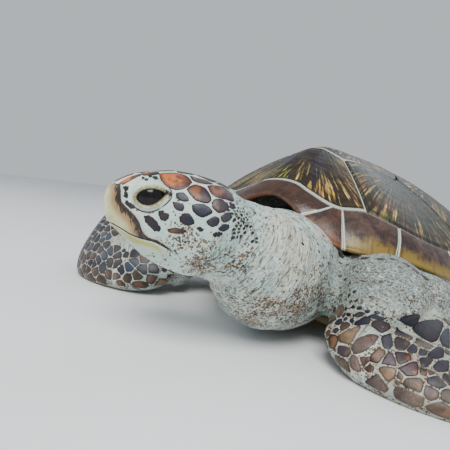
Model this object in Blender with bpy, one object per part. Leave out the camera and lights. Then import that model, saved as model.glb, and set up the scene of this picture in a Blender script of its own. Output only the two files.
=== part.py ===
"""Green sea turtle resting on its plastron, a still model at life size.

Frame: metres, +Z up, the floor at z = 0, the head towards -Y and the left side towards +X.
The carapace is laid out in plan round a centre point: a rim radius and a rim height for each
angle, a dome over it, and straight seams between named junctions. The flesh is lofted along
its own spines and trimmed against its neighbours with a thin gap.
"""
import math

import bmesh
import bpy
import numpy as np
from mathutils import Matrix, Vector

# ---- Driving dimensions, in metres -----------------------------------------------------------
SHELL_LENGTH = 0.85
GAP = 0.0004
RIM_GAP = 0.0018
PLATE_THICKNESS = 0.005
SEAM_WIDTH = 0.0026
PLAN_CELL = 0.068
PLAN_MERGE = 0.0004
RING_STEP = 11.0
REST_CENTRE_Y = 0.40

# ---- Carapace: tables are (angle in degrees from the front, fraction of SHELL_LENGTH) --------
DOME_CENTRE_Y = 0.25
DOME_TOP = 0.366
DOME_POWER = 0.888
DOME_SHAPE_FRONT = 1.624
DOME_SHAPE_SIDE = 1.659
DOME_SHAPE_REAR = 2.0
RIM_RADIUS = ((0, 0.232), (15, 0.253), (30, 0.277), (45, 0.290), (60, 0.303), (75, 0.321),
              (90, 0.345), (105, 0.386), (120, 0.445), (135, 0.516), (150, 0.603), (165, 0.683),
              (180, 0.750))
RIM_HEIGHT = ((0, 0.250), (10, 0.238), (17, 0.216), (26, 0.190), (34, 0.176), (55, 0.170),
              (72, 0.150), (90, 0.134), (126, 0.128), (160, 0.096), (180, 0.086))
MARGINAL_WIDTH = ((0, 0.030), (10, 0.037), (20, 0.046), (32, 0.052), (44, 0.059), (54, 0.048),
                  (65, 0.041), (80, 0.040), (100, 0.056), (130, 0.070), (180, 0.085))
# Low knobs along the midline, where one vertebral plate meets the next: y fraction and rise.
KEEL = ((0.176, 0.011), (0.400, 0.005), (0.610, 0.005), (0.800, 0.004))
KEEL_SPREAD = 0.058
RIM_EDGE = 0.0045
RIM_ROUND = 0.0035
RIM_ARCH = 0.002
RIM_KEEL = 0.006
RIM_BREAK = 0.55
SCALLOP = 0.010

# Seams between marginals, from the nuchal back to the tail: angle at the dome, angle at the rim.
MARGINAL_SEAMS = ((29.5, 17), (33, 34), (57, 52.5), (80, 78), (96, 95), (110, 110), (122, 122),
                  (133, 133), (142.5, 142.5), (150.5, 150.5), (158, 158), (168, 168), (180, 180))
# Junctions of the vertebral row, (x, y) as fractions of SHELL_LENGTH, left side.
CORNER_V1_V2 = (0.066, 0.176)
CORNER_V2 = (0.150, 0.285)
CORNER_V2_V3 = (0.075, 0.400)
CORNER_V3 = (0.145, 0.500)
CORNER_V3_V4 = (0.065, 0.610)
CORNER_V4 = (0.125, 0.700)
CORNER_V4_V5 = (0.050, 0.800)
# Angles where the costal seams meet the ring of marginals.
COSTAL_SEAMS = (45, 98, 127, 149, 163)

# ---- Plastron and the skin between the two shells --------------------------------------------
PLASTRON_THICKNESS = 0.018
PLASTRON_LIP = 0.010
PLASTRON_SEGMENTS = 40
PLASTRON_RADIUS = ((0, 0.125), (30, 0.150), (60, 0.205), (90, 0.245), (110, 0.275), (130, 0.340),
                   (150, 0.440), (165, 0.520), (180, 0.570))
# How the skin runs from under the rim (0, 0) in and down to the plastron (1, 1).
SKIN_PROFILE = ((0.30, 0.18), (0.70, 0.58), (1.00, 1.00))

# ---- Head: its own frame has x forward, y to the left and z up, in metres ---------------------
HEAD_CENTRE = (0.0037, -0.2072, 0.1803)
HEAD_TURN = math.radians(-45.0)
HEAD_DIP = math.radians(-8.4)
HEAD_LEAN = math.radians(3.4)
HEAD_RING = 20
HEAD_REACH = 0.08
# Stations: x, top z, underside z, half width, height of the widest point.
HEAD_STATIONS = (
    (0.0890, 0.004, -0.005, 0.004, -0.001), (0.0865, 0.017, -0.013, 0.013, 0.001),
    (0.0790, 0.028, -0.024, 0.021, 0.001), (0.0680, 0.035, -0.035, 0.029, -0.002),
    (0.0540, 0.040, -0.049, 0.037, -0.006), (0.0400, 0.0425, -0.062, 0.042, -0.010),
    (0.0250, 0.0440, -0.072, 0.046, -0.015), (0.0080, 0.0440, -0.080, 0.050, -0.020),
    (-0.0100, 0.0415, -0.086, 0.054, -0.024), (-0.0290, 0.0370, -0.087, 0.056, -0.026),
    (-0.0480, 0.0310, -0.082, 0.056, -0.025), (-0.0660, 0.0230, -0.070, 0.051, -0.022),
    (-0.0810, 0.0130, -0.050, 0.039, -0.018), (-0.0900, 0.0010, -0.030, 0.018, -0.014),
)
EYE_RADIUS = 0.0190
EYE_CENTRE = (0.0315, 0.0285, 0.0095)
EYE_SEGMENTS = 12
EYE_RINGS = 8
LID_THICKNESS = 0.0030
# The opening between the lids seen from the side, (x, z), from its front corner over the top.
LID_OPENING = ((0.0490, 0.0085), (0.0440, 0.0150), (0.0350, 0.0185), (0.0250, 0.0180),
               (0.0155, 0.0120), (0.0240, 0.0030), (0.0340, -0.0010), (0.0440, 0.0020))
# Outlines of the horny beak seen from the side, (x, z): closed loops cut through the snout.
MOUTH_FRONT = (0.1000, 0.0100)
MOUTH_CORNER = (0.0080, -0.0635)
BEAK_UPPER = ((0.1000, 0.0330), (0.0800, 0.0260), (0.0715, 0.0100), (0.0680, -0.0080),
              (0.0580, -0.0220), (0.0400, -0.0350), (0.0120, -0.0540))
BEAK_LOWER = ((0.0160, -0.0760), (0.0400, -0.0560), (0.0620, -0.0400), (0.0860, -0.0300),
              (0.1000, -0.0300))

# ---- Neck: centre x, y, z, half width, half height -------------------------------------------
NECK_STATIONS = (
    (0.000, 0.150, 0.104, 0.104, 0.068), (0.010, 0.085, 0.102, 0.120, 0.080),
    (0.030, 0.020, 0.104, 0.112, 0.086), (0.048, -0.040, 0.107, 0.096, 0.088),
    (0.060, -0.092, 0.121, 0.080, 0.086), (0.060, -0.132, 0.136, 0.066, 0.074),
    (0.044, -0.165, 0.149, 0.050, 0.056), (0.026, -0.184, 0.156, 0.030, 0.034),
)
NECK_RING = 20

# ---- Front limb, left side; the right arm is its mirror image --------------------------------
# Centre x, y, z, half width, half height.
ARM_STATIONS = (
    (0.085, 0.170, 0.096, 0.056, 0.048), (0.125, 0.122, 0.098, 0.068, 0.055),
    (0.165, 0.076, 0.095, 0.074, 0.060), (0.196, 0.030, 0.085, 0.070, 0.060),
    (0.206, -0.012, 0.067, 0.056, 0.053), (0.202, -0.040, 0.050, 0.036, 0.038),
)
ARM_RING = 12
# Leading edge x, y, z, trailing edge x, y, z, thickness.
LEFT_FLIPPER_STATIONS = (
    (0.165, -0.030, 0.020, 0.180, 0.012, 0.070, 0.050),
    (0.176, -0.052, 0.010, 0.196, -0.002, 0.084, 0.062),
    (0.203, -0.071, 0.003, 0.216, -0.008, 0.089, 0.058),
    (0.238, -0.081, 0.001, 0.240, 0.000, 0.089, 0.049),
    (0.278, -0.083, 0.000, 0.268, 0.016, 0.087, 0.041),
    (0.322, -0.075, 0.000, 0.300, 0.036, 0.079, 0.034),
    (0.369, -0.054, 0.000, 0.338, 0.064, 0.067, 0.028),
    (0.415, -0.018, 0.001, 0.382, 0.098, 0.053, 0.023),
    (0.455, 0.032, 0.002, 0.428, 0.138, 0.039, 0.018),
    (0.485, 0.090, 0.004, 0.462, 0.172, 0.027, 0.014),
    (0.503, 0.150, 0.006, 0.488, 0.200, 0.018, 0.010),
    (0.509, 0.196, 0.008, 0.504, 0.214, 0.012, 0.006),
)
# The right one stands steeper on its leading edge; its x grows to the right.
RIGHT_FLIPPER_STATIONS = (
    (0.165, -0.030, 0.020, 0.180, 0.008, 0.080, 0.050),
    (0.178, -0.056, 0.010, 0.198, -0.014, 0.100, 0.062),
    (0.207, -0.078, 0.003, 0.222, -0.034, 0.114, 0.058),
    (0.245, -0.092, 0.001, 0.256, -0.046, 0.121, 0.050),
    (0.288, -0.096, 0.000, 0.296, -0.052, 0.124, 0.042),
    (0.330, -0.088, 0.000, 0.334, -0.044, 0.122, 0.035),
    (0.366, -0.062, 0.000, 0.368, -0.016, 0.113, 0.029),
    (0.394, -0.020, 0.001, 0.396, 0.028, 0.098, 0.024),
    (0.413, 0.034, 0.002, 0.415, 0.080, 0.078, 0.019),
    (0.423, 0.092, 0.004, 0.426, 0.130, 0.056, 0.015),
    (0.425, 0.148, 0.007, 0.428, 0.172, 0.034, 0.010),
    (0.420, 0.192, 0.010, 0.423, 0.202, 0.018, 0.006),
)
FLIPPER_RING = 12

# ---- Hind limb and tail, left side -------------------------------------------------------------
HIND_FLIPPER_STATIONS = (
    (0.150, 0.560, 0.030, 0.090, 0.600, 0.060, 0.056),
    (0.172, 0.620, 0.020, 0.100, 0.655, 0.048, 0.050),
    (0.192, 0.680, 0.010, 0.112, 0.710, 0.036, 0.040),
    (0.212, 0.735, 0.005, 0.122, 0.765, 0.026, 0.031),
    (0.232, 0.790, 0.003, 0.136, 0.822, 0.018, 0.023),
    (0.246, 0.842, 0.003, 0.156, 0.872, 0.012, 0.016),
    (0.244, 0.888, 0.003, 0.184, 0.904, 0.008, 0.011),
    (0.228, 0.914, 0.004, 0.206, 0.917, 0.006, 0.007),
)
TAIL_STATIONS = (
    (0.0, 0.640, 0.050, 0.044, 0.030), (0.0, 0.700, 0.042, 0.034, 0.026),
    (0.0, 0.760, 0.032, 0.024, 0.020), (0.0, 0.810, 0.022, 0.016, 0.015),
    (0.0, 0.850, 0.014, 0.009, 0.010), (0.0, 0.872, 0.010, 0.003, 0.004),
)
TAIL_RING = 10

# ---- Claws: root point, pointing direction, length, root radius, left side --------------------
LEFT_FRONT_CLAW = ((0.372, -0.052, 0.010), (0.55, -0.80, -0.12), 0.026, 0.0065)
RIGHT_FRONT_CLAW = ((0.366, -0.062, 0.009), (0.75, -0.62, -0.10), 0.026, 0.0065)
HIND_CLAW = ((0.214, 0.744, 0.010), (0.90, 0.40, -0.10), 0.018, 0.0048)
CLAW_RING = 6
CLAW_STEPS = 4

# ---- Colours: name, base colour, roughness, metallic ------------------------------------------
COLOUR_SCUTE = ((0.055, 0.045, 0.035), 0.22, 0.0)
COLOUR_MARGINAL = ((0.150, 0.085, 0.045), 0.30, 0.0)
COLOUR_PLASTRON = ((0.780, 0.680, 0.420), 0.45, 0.0)
COLOUR_SKIN = ((0.600, 0.640, 0.600), 0.60, 0.0)
COLOUR_BEAK = ((0.720, 0.640, 0.400), 0.35, 0.0)
COLOUR_EYE = ((0.012, 0.010, 0.008), 0.04, 0.0)
COLOUR_CLAW = ((0.380, 0.300, 0.180), 0.40, 0.0)


# ---- Tables and the carapace in plan -------------------------------------------------------------
def table(rows, angle):
    """Read a table of (degrees, value) rows at an angle, smoothly, the same on both sides."""
    angles = [row[0] for row in rows]
    values = [row[1] for row in rows]
    angles = [-angles[1]] + angles + [360 - angles[-2]]
    values = [values[1]] + values + [values[-2]]
    angle = abs((angle + 180.0) % 360.0 - 180.0)
    i = min(max(int(np.searchsorted(angles, angle, side="right")) - 1, 1), len(angles) - 3)
    span = angles[i + 1] - angles[i]
    t = (angle - angles[i]) / span
    slope_in = (values[i + 1] - values[i - 1]) / (angles[i + 1] - angles[i - 1]) * span
    slope_out = (values[i + 2] - values[i]) / (angles[i + 2] - angles[i]) * span
    return ((2 * t**3 - 3 * t**2 + 1) * values[i] + (t**3 - 2 * t**2 + t) * slope_in
            + (3 * t**2 - 2 * t**3) * values[i + 1] + (t**3 - t**2) * slope_out)


def sized(rows, angle):
    """Read a table at an angle and scale it to the shell's length."""
    return table(rows, angle) * SHELL_LENGTH


def plan_point(angle, radius):
    """The (x, y) of a point at an angle and a radius from the dome's centre."""
    turn = math.radians(angle)
    return radius * math.sin(turn), DOME_CENTRE_Y * SHELL_LENGTH - radius * math.cos(turn)


def ring_radius(angle):
    """Radius of the seam between the dome's plates and the marginals."""
    return sized(RIM_RADIUS, angle) - sized(MARGINAL_WIDTH, angle)


def dome_height(x, y):
    """Height of the carapace's outer surface over a point in plan."""
    across = x
    ahead = DOME_CENTRE_Y * SHELL_LENGTH - y
    angle = math.degrees(math.atan2(across, ahead))
    rho = min(math.hypot(across, ahead) / sized(RIM_RADIUS, angle), 1.0)
    lean = math.cos(math.radians(angle))
    end_shape = DOME_SHAPE_FRONT if lean > 0 else DOME_SHAPE_REAR
    shape = DOME_SHAPE_SIDE + (end_shape - DOME_SHAPE_SIDE) * lean * lean
    rise = (1 - rho**shape) ** DOME_POWER
    rim = sized(RIM_HEIGHT, angle)
    height = rim + (DOME_TOP * SHELL_LENGTH - rim) * rise
    for along, knob in KEEL:
        away = (across**2 + (y - along * SHELL_LENGTH) ** 2) / KEEL_SPREAD**2
        height += knob * math.exp(-away)
    return height


def ring_angles():
    """Every angle where the ring of marginals has a corner, once round, from -180 to 180."""
    marks = sorted({seam[0] for seam in MARGINAL_SEAMS} | set(COSTAL_SEAMS) | {0})
    filled = []
    for low, high in zip(marks[:-1], marks[1:]):
        steps = max(1, round((high - low) / RING_STEP))
        filled += [low + (high - low) * i / steps for i in range(steps)]
    filled.append(180.0)
    return [-angle for angle in reversed(filled[1:])] + filled


RING_ANGLES = ring_angles()


def ring_path(start, end):
    """Plan points of the marginal ring from one angle to another, both ends included."""
    if start < end:
        angles = [angle for angle in RING_ANGLES if start - 1e-6 <= angle <= end + 1e-6]
    else:
        angles = [angle for angle in reversed(RING_ANGLES) if end - 1e-6 <= angle <= start + 1e-6]
    return [plan_point(angle, ring_radius(angle)) for angle in angles]


def corner(point, side):
    """A named junction in metres, on the left (side 1) or the right (side -1)."""
    return point[0] * SHELL_LENGTH * side, point[1] * SHELL_LENGTH


def dome_outlines():
    """Plan outlines of the vertebral and costal plates by name, each a closed loop of points."""
    outlines = {}
    s1, s2, s3, s4, s5 = COSTAL_SEAMS
    row = (CORNER_V1_V2, CORNER_V2, CORNER_V2_V3, CORNER_V3, CORNER_V3_V4, CORNER_V4, CORNER_V4_V5)
    left = [corner(point, 1) for point in row]
    right = [corner(point, -1) for point in row]
    outlines["vertebral_1"] = ring_path(-s1, s1) + [left[0], right[0]]
    for number in (2, 3, 4):
        i = 2 * (number - 2)
        outlines[f"vertebral_{number}"] = [left[i], left[i + 1], left[i + 2],
                                           right[i + 2], right[i + 1], right[i]]
    back = ring_path(s5, 180) + ring_path(-180, -s5)[1:]
    outlines["vertebral_5"] = [left[6]] + back + [right[6]]
    for side, name, points in ((1, "left", left), (-1, "right", right)):
        outlines[f"costal_{name}_1"] = [points[0]] + ring_path(side * s1, side * s2) + [points[1]]
        outlines[f"costal_{name}_2"] = ([points[1]] + ring_path(side * s2, side * s3)
                                        + [points[3], points[2]])
        outlines[f"costal_{name}_3"] = ([points[3]] + ring_path(side * s3, side * s4)
                                        + [points[5], points[4]])
        outlines[f"costal_{name}_4"] = [points[5]] + ring_path(side * s4, side * s5) + [points[6]]
    return outlines


def plan_triangles(outlines):
    """Cut the dome's plan into triangles that all plates and the body under them share."""
    plan = bmesh.new()
    tag = plan.faces.layers.int.new("plate")
    known = {}

    def vertex(point):
        key = (round(point[0], 6), round(point[1], 6))
        if key not in known:
            known[key] = plan.verts.new((point[0], point[1], 0.0))
        return known[key]

    for number, outline in enumerate(outlines.values()):
        face = plan.faces.new([vertex(point) for point in outline])
        face[tag] = number
    plan.normal_update()
    inset = bmesh.ops.inset_individual(plan, faces=plan.faces[:], thickness=SEAM_WIDTH / 2,
                                       use_even_offset=True)
    for face in inset["faces"]:
        face[tag] = -1
    reach = int(SHELL_LENGTH / PLAN_CELL) + 1
    for axis in (0, 1):
        for step in range(-reach, reach + 1):
            at, normal = Vector(), Vector()
            at[axis] = step * PLAN_CELL
            normal[axis] = 1.0
            geometry = plan.verts[:] + plan.edges[:] + plan.faces[:]
            bmesh.ops.bisect_plane(plan, geom=geometry, dist=PLAN_MERGE, plane_co=at,
                                   plane_no=normal)
    bmesh.ops.triangulate(plan, faces=plan.faces[:])
    plan.normal_update()
    plan.verts.index_update()
    points = [(v.co.x, v.co.y) for v in plan.verts]
    triangles = [([v.index for v in face.verts], face[tag], face.normal.z) for face in plan.faces]
    plan.free()
    return points, [(tri if up > 0 else tri[::-1], plate) for tri, plate, up in triangles]


# ---- Building blocks -------------------------------------------------------------------------------
def new_object(name, mesh, colour):
    """Link a mesh as a named object with its own Principled material, shaded smooth."""
    base, roughness, metallic = colour
    material = bpy.data.materials.new(f"{name}_finish")
    material.use_nodes = True
    shader = material.node_tree.nodes["Principled BSDF"]
    shader.inputs["Base Color"].default_value = (*base, 1.0)
    shader.inputs["Roughness"].default_value = roughness
    shader.inputs["Metallic"].default_value = metallic
    mesh.materials.clear()
    mesh.materials.append(material)
    mesh.shade_smooth()
    mesh.set_sharp_from_angle(angle=math.radians(40))
    item = bpy.data.objects.new(name, mesh)
    bpy.context.scene.collection.objects.link(item)
    return item


def mesh_from(name, points, faces):
    """A closed mesh from points and faces, with its faces turned outwards."""
    body = bmesh.new()
    vertices = [body.verts.new(point) for point in points]
    for face in faces:
        body.faces.new([vertices[index] for index in face])
    bmesh.ops.recalc_face_normals(body, faces=body.faces[:])
    bmesh.ops.triangulate(body, faces=body.faces[:])
    mesh = bpy.data.meshes.new(name)
    body.to_mesh(mesh)
    body.free()
    return mesh


def loft(name, rings):
    """Join rings of the same number of points, and close both ends with a fan."""
    points = [point for ring in rings for point in ring]
    count = len(rings[0])
    faces = []
    for i in range(len(rings) - 1):
        for j in range(count):
            k = (j + 1) % count
            faces.append((i * count + j, i * count + k, (i + 1) * count + k, (i + 1) * count + j))
    for ring, offset in ((rings[0], 0), (rings[-1], (len(rings) - 1) * count)):
        centre = sum((Vector(point) for point in ring), Vector()) / count
        points.append(centre)
        faces += [(offset + j, offset + (j + 1) % count, len(points) - 1) for j in range(count)]
    return mesh_from(name, points, faces)


def spine_loft(name, stations, ring_count):
    """Loft ellipses along a spine of (x, y, z, half width, half height) stations."""
    centres = [Vector(station[:3]) for station in stations]
    rings = []
    for i, station in enumerate(stations):
        ahead = centres[min(i + 1, len(centres) - 1)] - centres[max(i - 1, 0)]
        across = ahead.cross(Vector((0, 0, 1))).normalized()
        up = across.cross(ahead).normalized()
        ring = []
        for j in range(ring_count):
            turn = 2 * math.pi * j / ring_count
            ring.append(centres[i] + across * (station[3] * math.cos(turn))
                        + up * (station[4] * math.sin(turn)))
        rings.append(ring)
    return loft(name, rings)


def blade_section(lead, trail, thickness, along, count):
    """A streamlined section: round at the leading edge and thin at the trailing edge."""
    chord = trail - lead
    face = chord.cross(along).normalized()
    ring = []
    for j in range(count):
        turn = 2 * math.pi * j / count
        c = (1 - math.cos(turn)) / 2
        swell = 2.9690 * math.sqrt(c) - 1.2600 * c - 3.5160 * c**2 + 2.8430 * c**3 - 1.0150 * c**4
        half = 0.5 * thickness * max(swell, 0.0) + 0.0016 * (1 if 0 < j < count else 0)
        ring.append(lead + chord * c + face * (half if turn < math.pi else -half))
    return ring


def blade_loft(name, stations, count, side):
    """Loft a flipper through sections from a leading edge to a trailing edge."""
    leads = [Vector((row[0] * side, row[1], row[2])) for row in stations]
    trails = [Vector((row[3] * side, row[4], row[5])) for row in stations]
    middles = [(lead + trail) / 2 for lead, trail in zip(leads, trails)]
    rings = []
    for i, row in enumerate(stations):
        along = middles[min(i + 1, len(middles) - 1)] - middles[max(i - 1, 0)]
        rings.append(blade_section(leads[i], trails[i], row[6], along, count))
    return loft(name, rings)


def flatten_foot(mesh):
    """Cut away what lies below the floor and close the cut, which leaves a small flat."""
    body = bmesh.new()
    body.from_mesh(mesh)
    geometry = body.verts[:] + body.edges[:] + body.faces[:]
    cut = bmesh.ops.bisect_plane(body, geom=geometry, dist=1e-6, plane_co=(0, 0, 0),
                                 plane_no=(0, 0, 1), clear_inner=True)
    edges = [item for item in cut["geom_cut"] if isinstance(item, bmesh.types.BMEdge)]
    bmesh.ops.holes_fill(body, edges=edges)
    bmesh.ops.triangulate(body, faces=body.faces[:])
    bmesh.ops.recalc_face_normals(body, faces=body.faces[:])
    body.to_mesh(mesh)
    body.free()


def grown_copy(item, gap=GAP):
    """A hidden copy of an object, larger all round by the gap kept between neighbours."""
    mesh = item.data.copy()
    body = bmesh.new()
    body.from_mesh(mesh)
    bmesh.ops.recalc_face_normals(body, faces=body.faces[:])
    moved = [v.co + v.normal * gap * max(v.calc_shell_factor(), 1.0) for v in body.verts]
    for v, place in zip(body.verts, moved):
        v.co = place
    body.to_mesh(mesh)
    body.free()
    copy = bpy.data.objects.new(f"{item.name}_cutter", mesh)
    bpy.context.scene.collection.objects.link(copy)
    copy.hide_render = True
    copy.display_type = "WIRE"
    return copy


def apply_boolean(item, cutter, operation):
    """Run one exact Boolean on an object and keep its result as the object's own mesh."""
    step = item.modifiers.new("cut", "BOOLEAN")
    step.operation = operation
    step.solver = "EXACT"
    step.object = cutter
    graph = bpy.context.evaluated_depsgraph_get()
    result = bpy.data.meshes.new_from_object(item.evaluated_get(graph))
    item.modifiers.remove(step)
    old = item.data
    item.data = result
    bpy.data.meshes.remove(old)


def keep_largest(item):
    """Drop the loose scraps that a cut leaves, keep the largest piece, and tidy its facets."""
    body = bmesh.new()
    body.from_mesh(item.data)
    bmesh.ops.remove_doubles(body, verts=body.verts[:], dist=0.00002)
    bmesh.ops.dissolve_degenerate(body, edges=body.edges[:], dist=0.00002)
    islands = []
    waiting = set(body.verts)
    while waiting:
        stack = [waiting.pop()]
        island = set(stack)
        while stack:
            for edge in stack.pop().link_edges:
                for v in edge.verts:
                    if v in waiting:
                        waiting.remove(v)
                        island.add(v)
                        stack.append(v)
        islands.append(island)
    largest = max(islands, key=len)
    bmesh.ops.delete(body, geom=[v for v in body.verts if v not in largest], context="VERTS")
    bmesh.ops.triangulate(body, faces=body.faces[:])
    bmesh.ops.recalc_face_normals(body, faces=body.faces[:])
    body.to_mesh(item.data)
    body.free()


def trim(item, neighbours, gap=GAP):
    """Cut an object back from its neighbours, with the thin gap between touching bodies."""
    for neighbour in neighbours:
        cutter = grown_copy(neighbour, gap)
        apply_boolean(item, cutter, "DIFFERENCE")
        bpy.data.objects.remove(cutter)
    keep_largest(item)


# ---- Shell ---------------------------------------------------------------------------------------
def plate_mesh(name, points, triangles):
    """One plate of the dome: its triangles at the surface, and again a thickness below."""
    used = sorted({index for triangle in triangles for index in triangle})
    place = {index: number for number, index in enumerate(used)}
    top = [(*points[index], dome_height(*points[index])) for index in used]
    bottom = [(x, y, z - PLATE_THICKNESS) for x, y, z in top]
    faces = [[place[index] for index in triangle] for triangle in triangles]
    return mesh_from(name, top + bottom, closed_shell_faces(faces, len(used)))


def closed_shell_faces(faces, count):
    """Faces of a thick sheet: the upper ones, the lower ones turned over, and its walls."""
    edges = {}
    for face in faces:
        for a, b in zip(face, face[1:] + face[:1]):
            edges[(a, b)] = True
    walls = [(a, b, b + count, a + count) for a, b in edges if (b, a) not in edges]
    return faces + [[index + count for index in reversed(face)] for face in faces] + walls


def boundary_loop(triangles):
    """Indices of the outer boundary of a sheet of triangles, in order."""
    edges = {}
    for triangle in triangles:
        for a, b in zip(triangle, triangle[1:] + triangle[:1]):
            edges[(a, b)] = True
    following = {a: b for a, b in edges if (b, a) not in edges}
    start = next(iter(following))
    loop = [start]
    while following[loop[-1]] != start:
        loop.append(following[loop[-1]])
    return loop


def underside_height(angle):
    """Height of the marginals' inner lower corner, where the skin starts."""
    rim = sized(RIM_HEIGHT, angle)
    inner = dome_height(*plan_point(angle, ring_radius(angle)))
    return rim + 0.30 * (inner - rim)


def trunk_mesh(points, triangles):
    """The body inside the shell: the dome's under-surface, the skin and a flat belly."""
    drop = PLATE_THICKNESS + GAP
    solid = [(x, y, dome_height(x, y) - drop) for x, y in points]
    faces = [list(triangle) for triangle in triangles]
    loop = boundary_loop(faces)
    previous = loop
    levels = [(0.0, 0.0)] + list(SKIN_PROFILE)
    base = PLASTRON_THICKNESS + GAP
    for inward, down in levels:
        current = []
        for index in loop:
            x, y = points[index]
            angle = math.degrees(math.atan2(x, DOME_CENTRE_Y * SHELL_LENGTH - y))
            outer = math.hypot(x, DOME_CENTRE_Y * SHELL_LENGTH - y)
            radius = outer + (sized(PLASTRON_RADIUS, angle) - 0.004 - outer) * inward
            top = underside_height(angle)
            solid.append((*plan_point(angle, radius), top + (base - top) * down))
            current.append(len(solid) - 1)
        for i in range(len(loop)):
            j = (i + 1) % len(loop)
            faces.append([previous[i], previous[j], current[j], current[i]])
        previous = current
    faces.append(list(previous))
    return mesh_from("trunk", solid, faces)


def plastron_mesh():
    """The lower shell: flat below, with a rounded lip all round."""
    levels = ((-0.012, 0.0), (-0.004, 0.0015), (PLASTRON_LIP, 0.009),
              (PLASTRON_LIP - 0.003, PLASTRON_THICKNESS))
    angles = np.linspace(-180, 180, PLASTRON_SEGMENTS + 1)[:-1]
    rings = []
    for offset, height in levels:
        rings.append([(*plan_point(angle, sized(PLASTRON_RADIUS, angle) + offset), height)
                      for angle in angles])
    return loft("plastron", rings)


def marginal_section(ring_angle, rim_angle, swell):
    """Corner points of the rim's cross-section, from the inner top round to the inner low."""
    inner = ring_radius(ring_angle) + SEAM_WIDTH / 2
    outer = sized(RIM_RADIUS, rim_angle) * (1 + SCALLOP * swell)
    rim = sized(RIM_HEIGHT, rim_angle)
    top = dome_height(*plan_point(ring_angle, ring_radius(ring_angle)))
    low = underside_height(ring_angle)
    middle = inner + RIM_BREAK * (outer - inner)
    between = (ring_angle + rim_angle) / 2
    corners = ((ring_angle, inner, top), (between, middle, (top + rim) / 2 + RIM_ARCH),
               (rim_angle, outer - RIM_ROUND, rim + RIM_EDGE), (rim_angle, outer, rim),
               (rim_angle, outer - RIM_ROUND, rim - RIM_EDGE),
               (between, middle, (low + rim) / 2 - RIM_KEEL),
               (ring_angle, inner, low - RIM_ARCH))
    return [(*plan_point(angle, radius), height) for angle, radius, height in corners]


def marginal_mesh(name, start, end):
    """One plate of the rim between two seams, with a slight scallop along its edge."""
    gap = math.degrees(SEAM_WIDTH / 2 / sized(RIM_RADIUS, (start[1] + end[1]) / 2))
    low, high = start[0] + gap, end[0] - gap
    steps = [low] + [angle for angle in RING_ANGLES if low + 1 < angle < high - 1] + [high]
    if len(steps) == 2:
        steps.insert(1, (low + high) / 2)
    rings = []
    for ring_angle in steps:
        t = (ring_angle - low) / (high - low)
        rim_angle = start[1] + gap + (end[1] - start[1] - 2 * gap) * t
        rings.append(marginal_section(ring_angle, rim_angle, math.sin(math.pi * t)))
    points = [point for ring in rings for point in ring]
    count = len(rings[0])
    faces = [list(range(count)), [(len(rings) - 1) * count + j for j in range(count)]]
    for i in range(len(rings) - 1):
        for j in range(count):
            k = (j + 1) % count
            faces.append((i * count + j, i * count + k, (i + 1) * count + k, (i + 1) * count + j))
    return mesh_from(name, points, faces)


def build_shell():
    """Make the dome's plates, the rim's plates, the trunk and the plastron."""
    outlines = dome_outlines()
    points, tagged = plan_triangles(outlines)
    for number, name in enumerate(outlines):
        own = [triangle for triangle, plate in tagged if plate == number]
        new_object(name, plate_mesh(name, points, own), COLOUR_SCUTE)
    trunk = new_object("trunk", trunk_mesh(points, [tri for tri, _ in tagged]), COLOUR_SKIN)
    plastron = new_object("plastron", plastron_mesh(), COLOUR_PLASTRON)
    first = MARGINAL_SEAMS[0]
    before = (-first[0], -first[1])
    rim = [new_object("nuchal", marginal_mesh("nuchal", before, first), COLOUR_MARGINAL)]
    for number, (start, end) in enumerate(zip(MARGINAL_SEAMS[:-1], MARGINAL_SEAMS[1:]), 1):
        for side, label in ((1, "left"), (-1, "right")):
            low, high = sorted(((side * start[0], side * start[1]), (side * end[0], side * end[1])))
            name = f"marginal_{label}_{number}"
            rim.append(new_object(name, marginal_mesh(name, low, high), COLOUR_MARGINAL))
    return trunk, plastron, rim


# ---- Head and neck -------------------------------------------------------------------------------
def head_matrix():
    """Place of the head's own frame: turned to the right, dipped and leant a little."""
    forward = Matrix.Rotation(HEAD_TURN - math.pi / 2, 4, "Z")
    dip = Matrix.Rotation(-HEAD_DIP, 4, "Y")
    lean = Matrix.Rotation(HEAD_LEAN, 4, "X")
    return Matrix.Translation(HEAD_CENTRE) @ forward @ dip @ lean


def head_ring(x, top, low, half, widest):
    """One section of the head: flat on the crown, full in the cheek, narrow at the throat."""
    ring = []
    for j in range(HEAD_RING):
        turn = 2 * math.pi * j / HEAD_RING
        c, s = math.cos(turn), math.sin(turn)
        power = 2 / 2.35 if s > 0 else 2 / 2.0
        y = half * math.copysign(abs(c) ** power, c)
        reach = top - widest if s > 0 else widest - low
        ring.append((x, y, widest + reach * math.copysign(abs(s) ** power, s)))
    return ring


def prism(name, outline, near, far):
    """A hidden cutter with a side outline of (x, z) points, running across from y to y."""
    count = len(outline)
    points = [(x, near, z) for x, z in outline] + [(x, far, z) for x, z in outline]
    faces = [list(range(count)), [count + i for i in range(count)]]
    faces += [(i, (i + 1) % count, count + (i + 1) % count, count + i) for i in range(count)]
    item = new_object(name, mesh_from(name, points, faces), COLOUR_BEAK)
    item.hide_render = True
    item.display_type = "WIRE"
    return item


def ball_mesh(name, centre, radius):
    """A ball whose poles point to the sides of the head."""
    ball = bmesh.new()
    bmesh.ops.create_uvsphere(ball, u_segments=EYE_SEGMENTS, v_segments=EYE_RINGS, radius=radius)
    bmesh.ops.rotate(ball, verts=ball.verts[:], matrix=Matrix.Rotation(math.pi / 2, 3, "X"))
    bmesh.ops.translate(ball, verts=ball.verts[:], vec=centre)
    bmesh.ops.triangulate(ball, faces=ball.faces[:])
    mesh = bpy.data.meshes.new(name)
    ball.to_mesh(mesh)
    ball.free()
    return mesh


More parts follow.
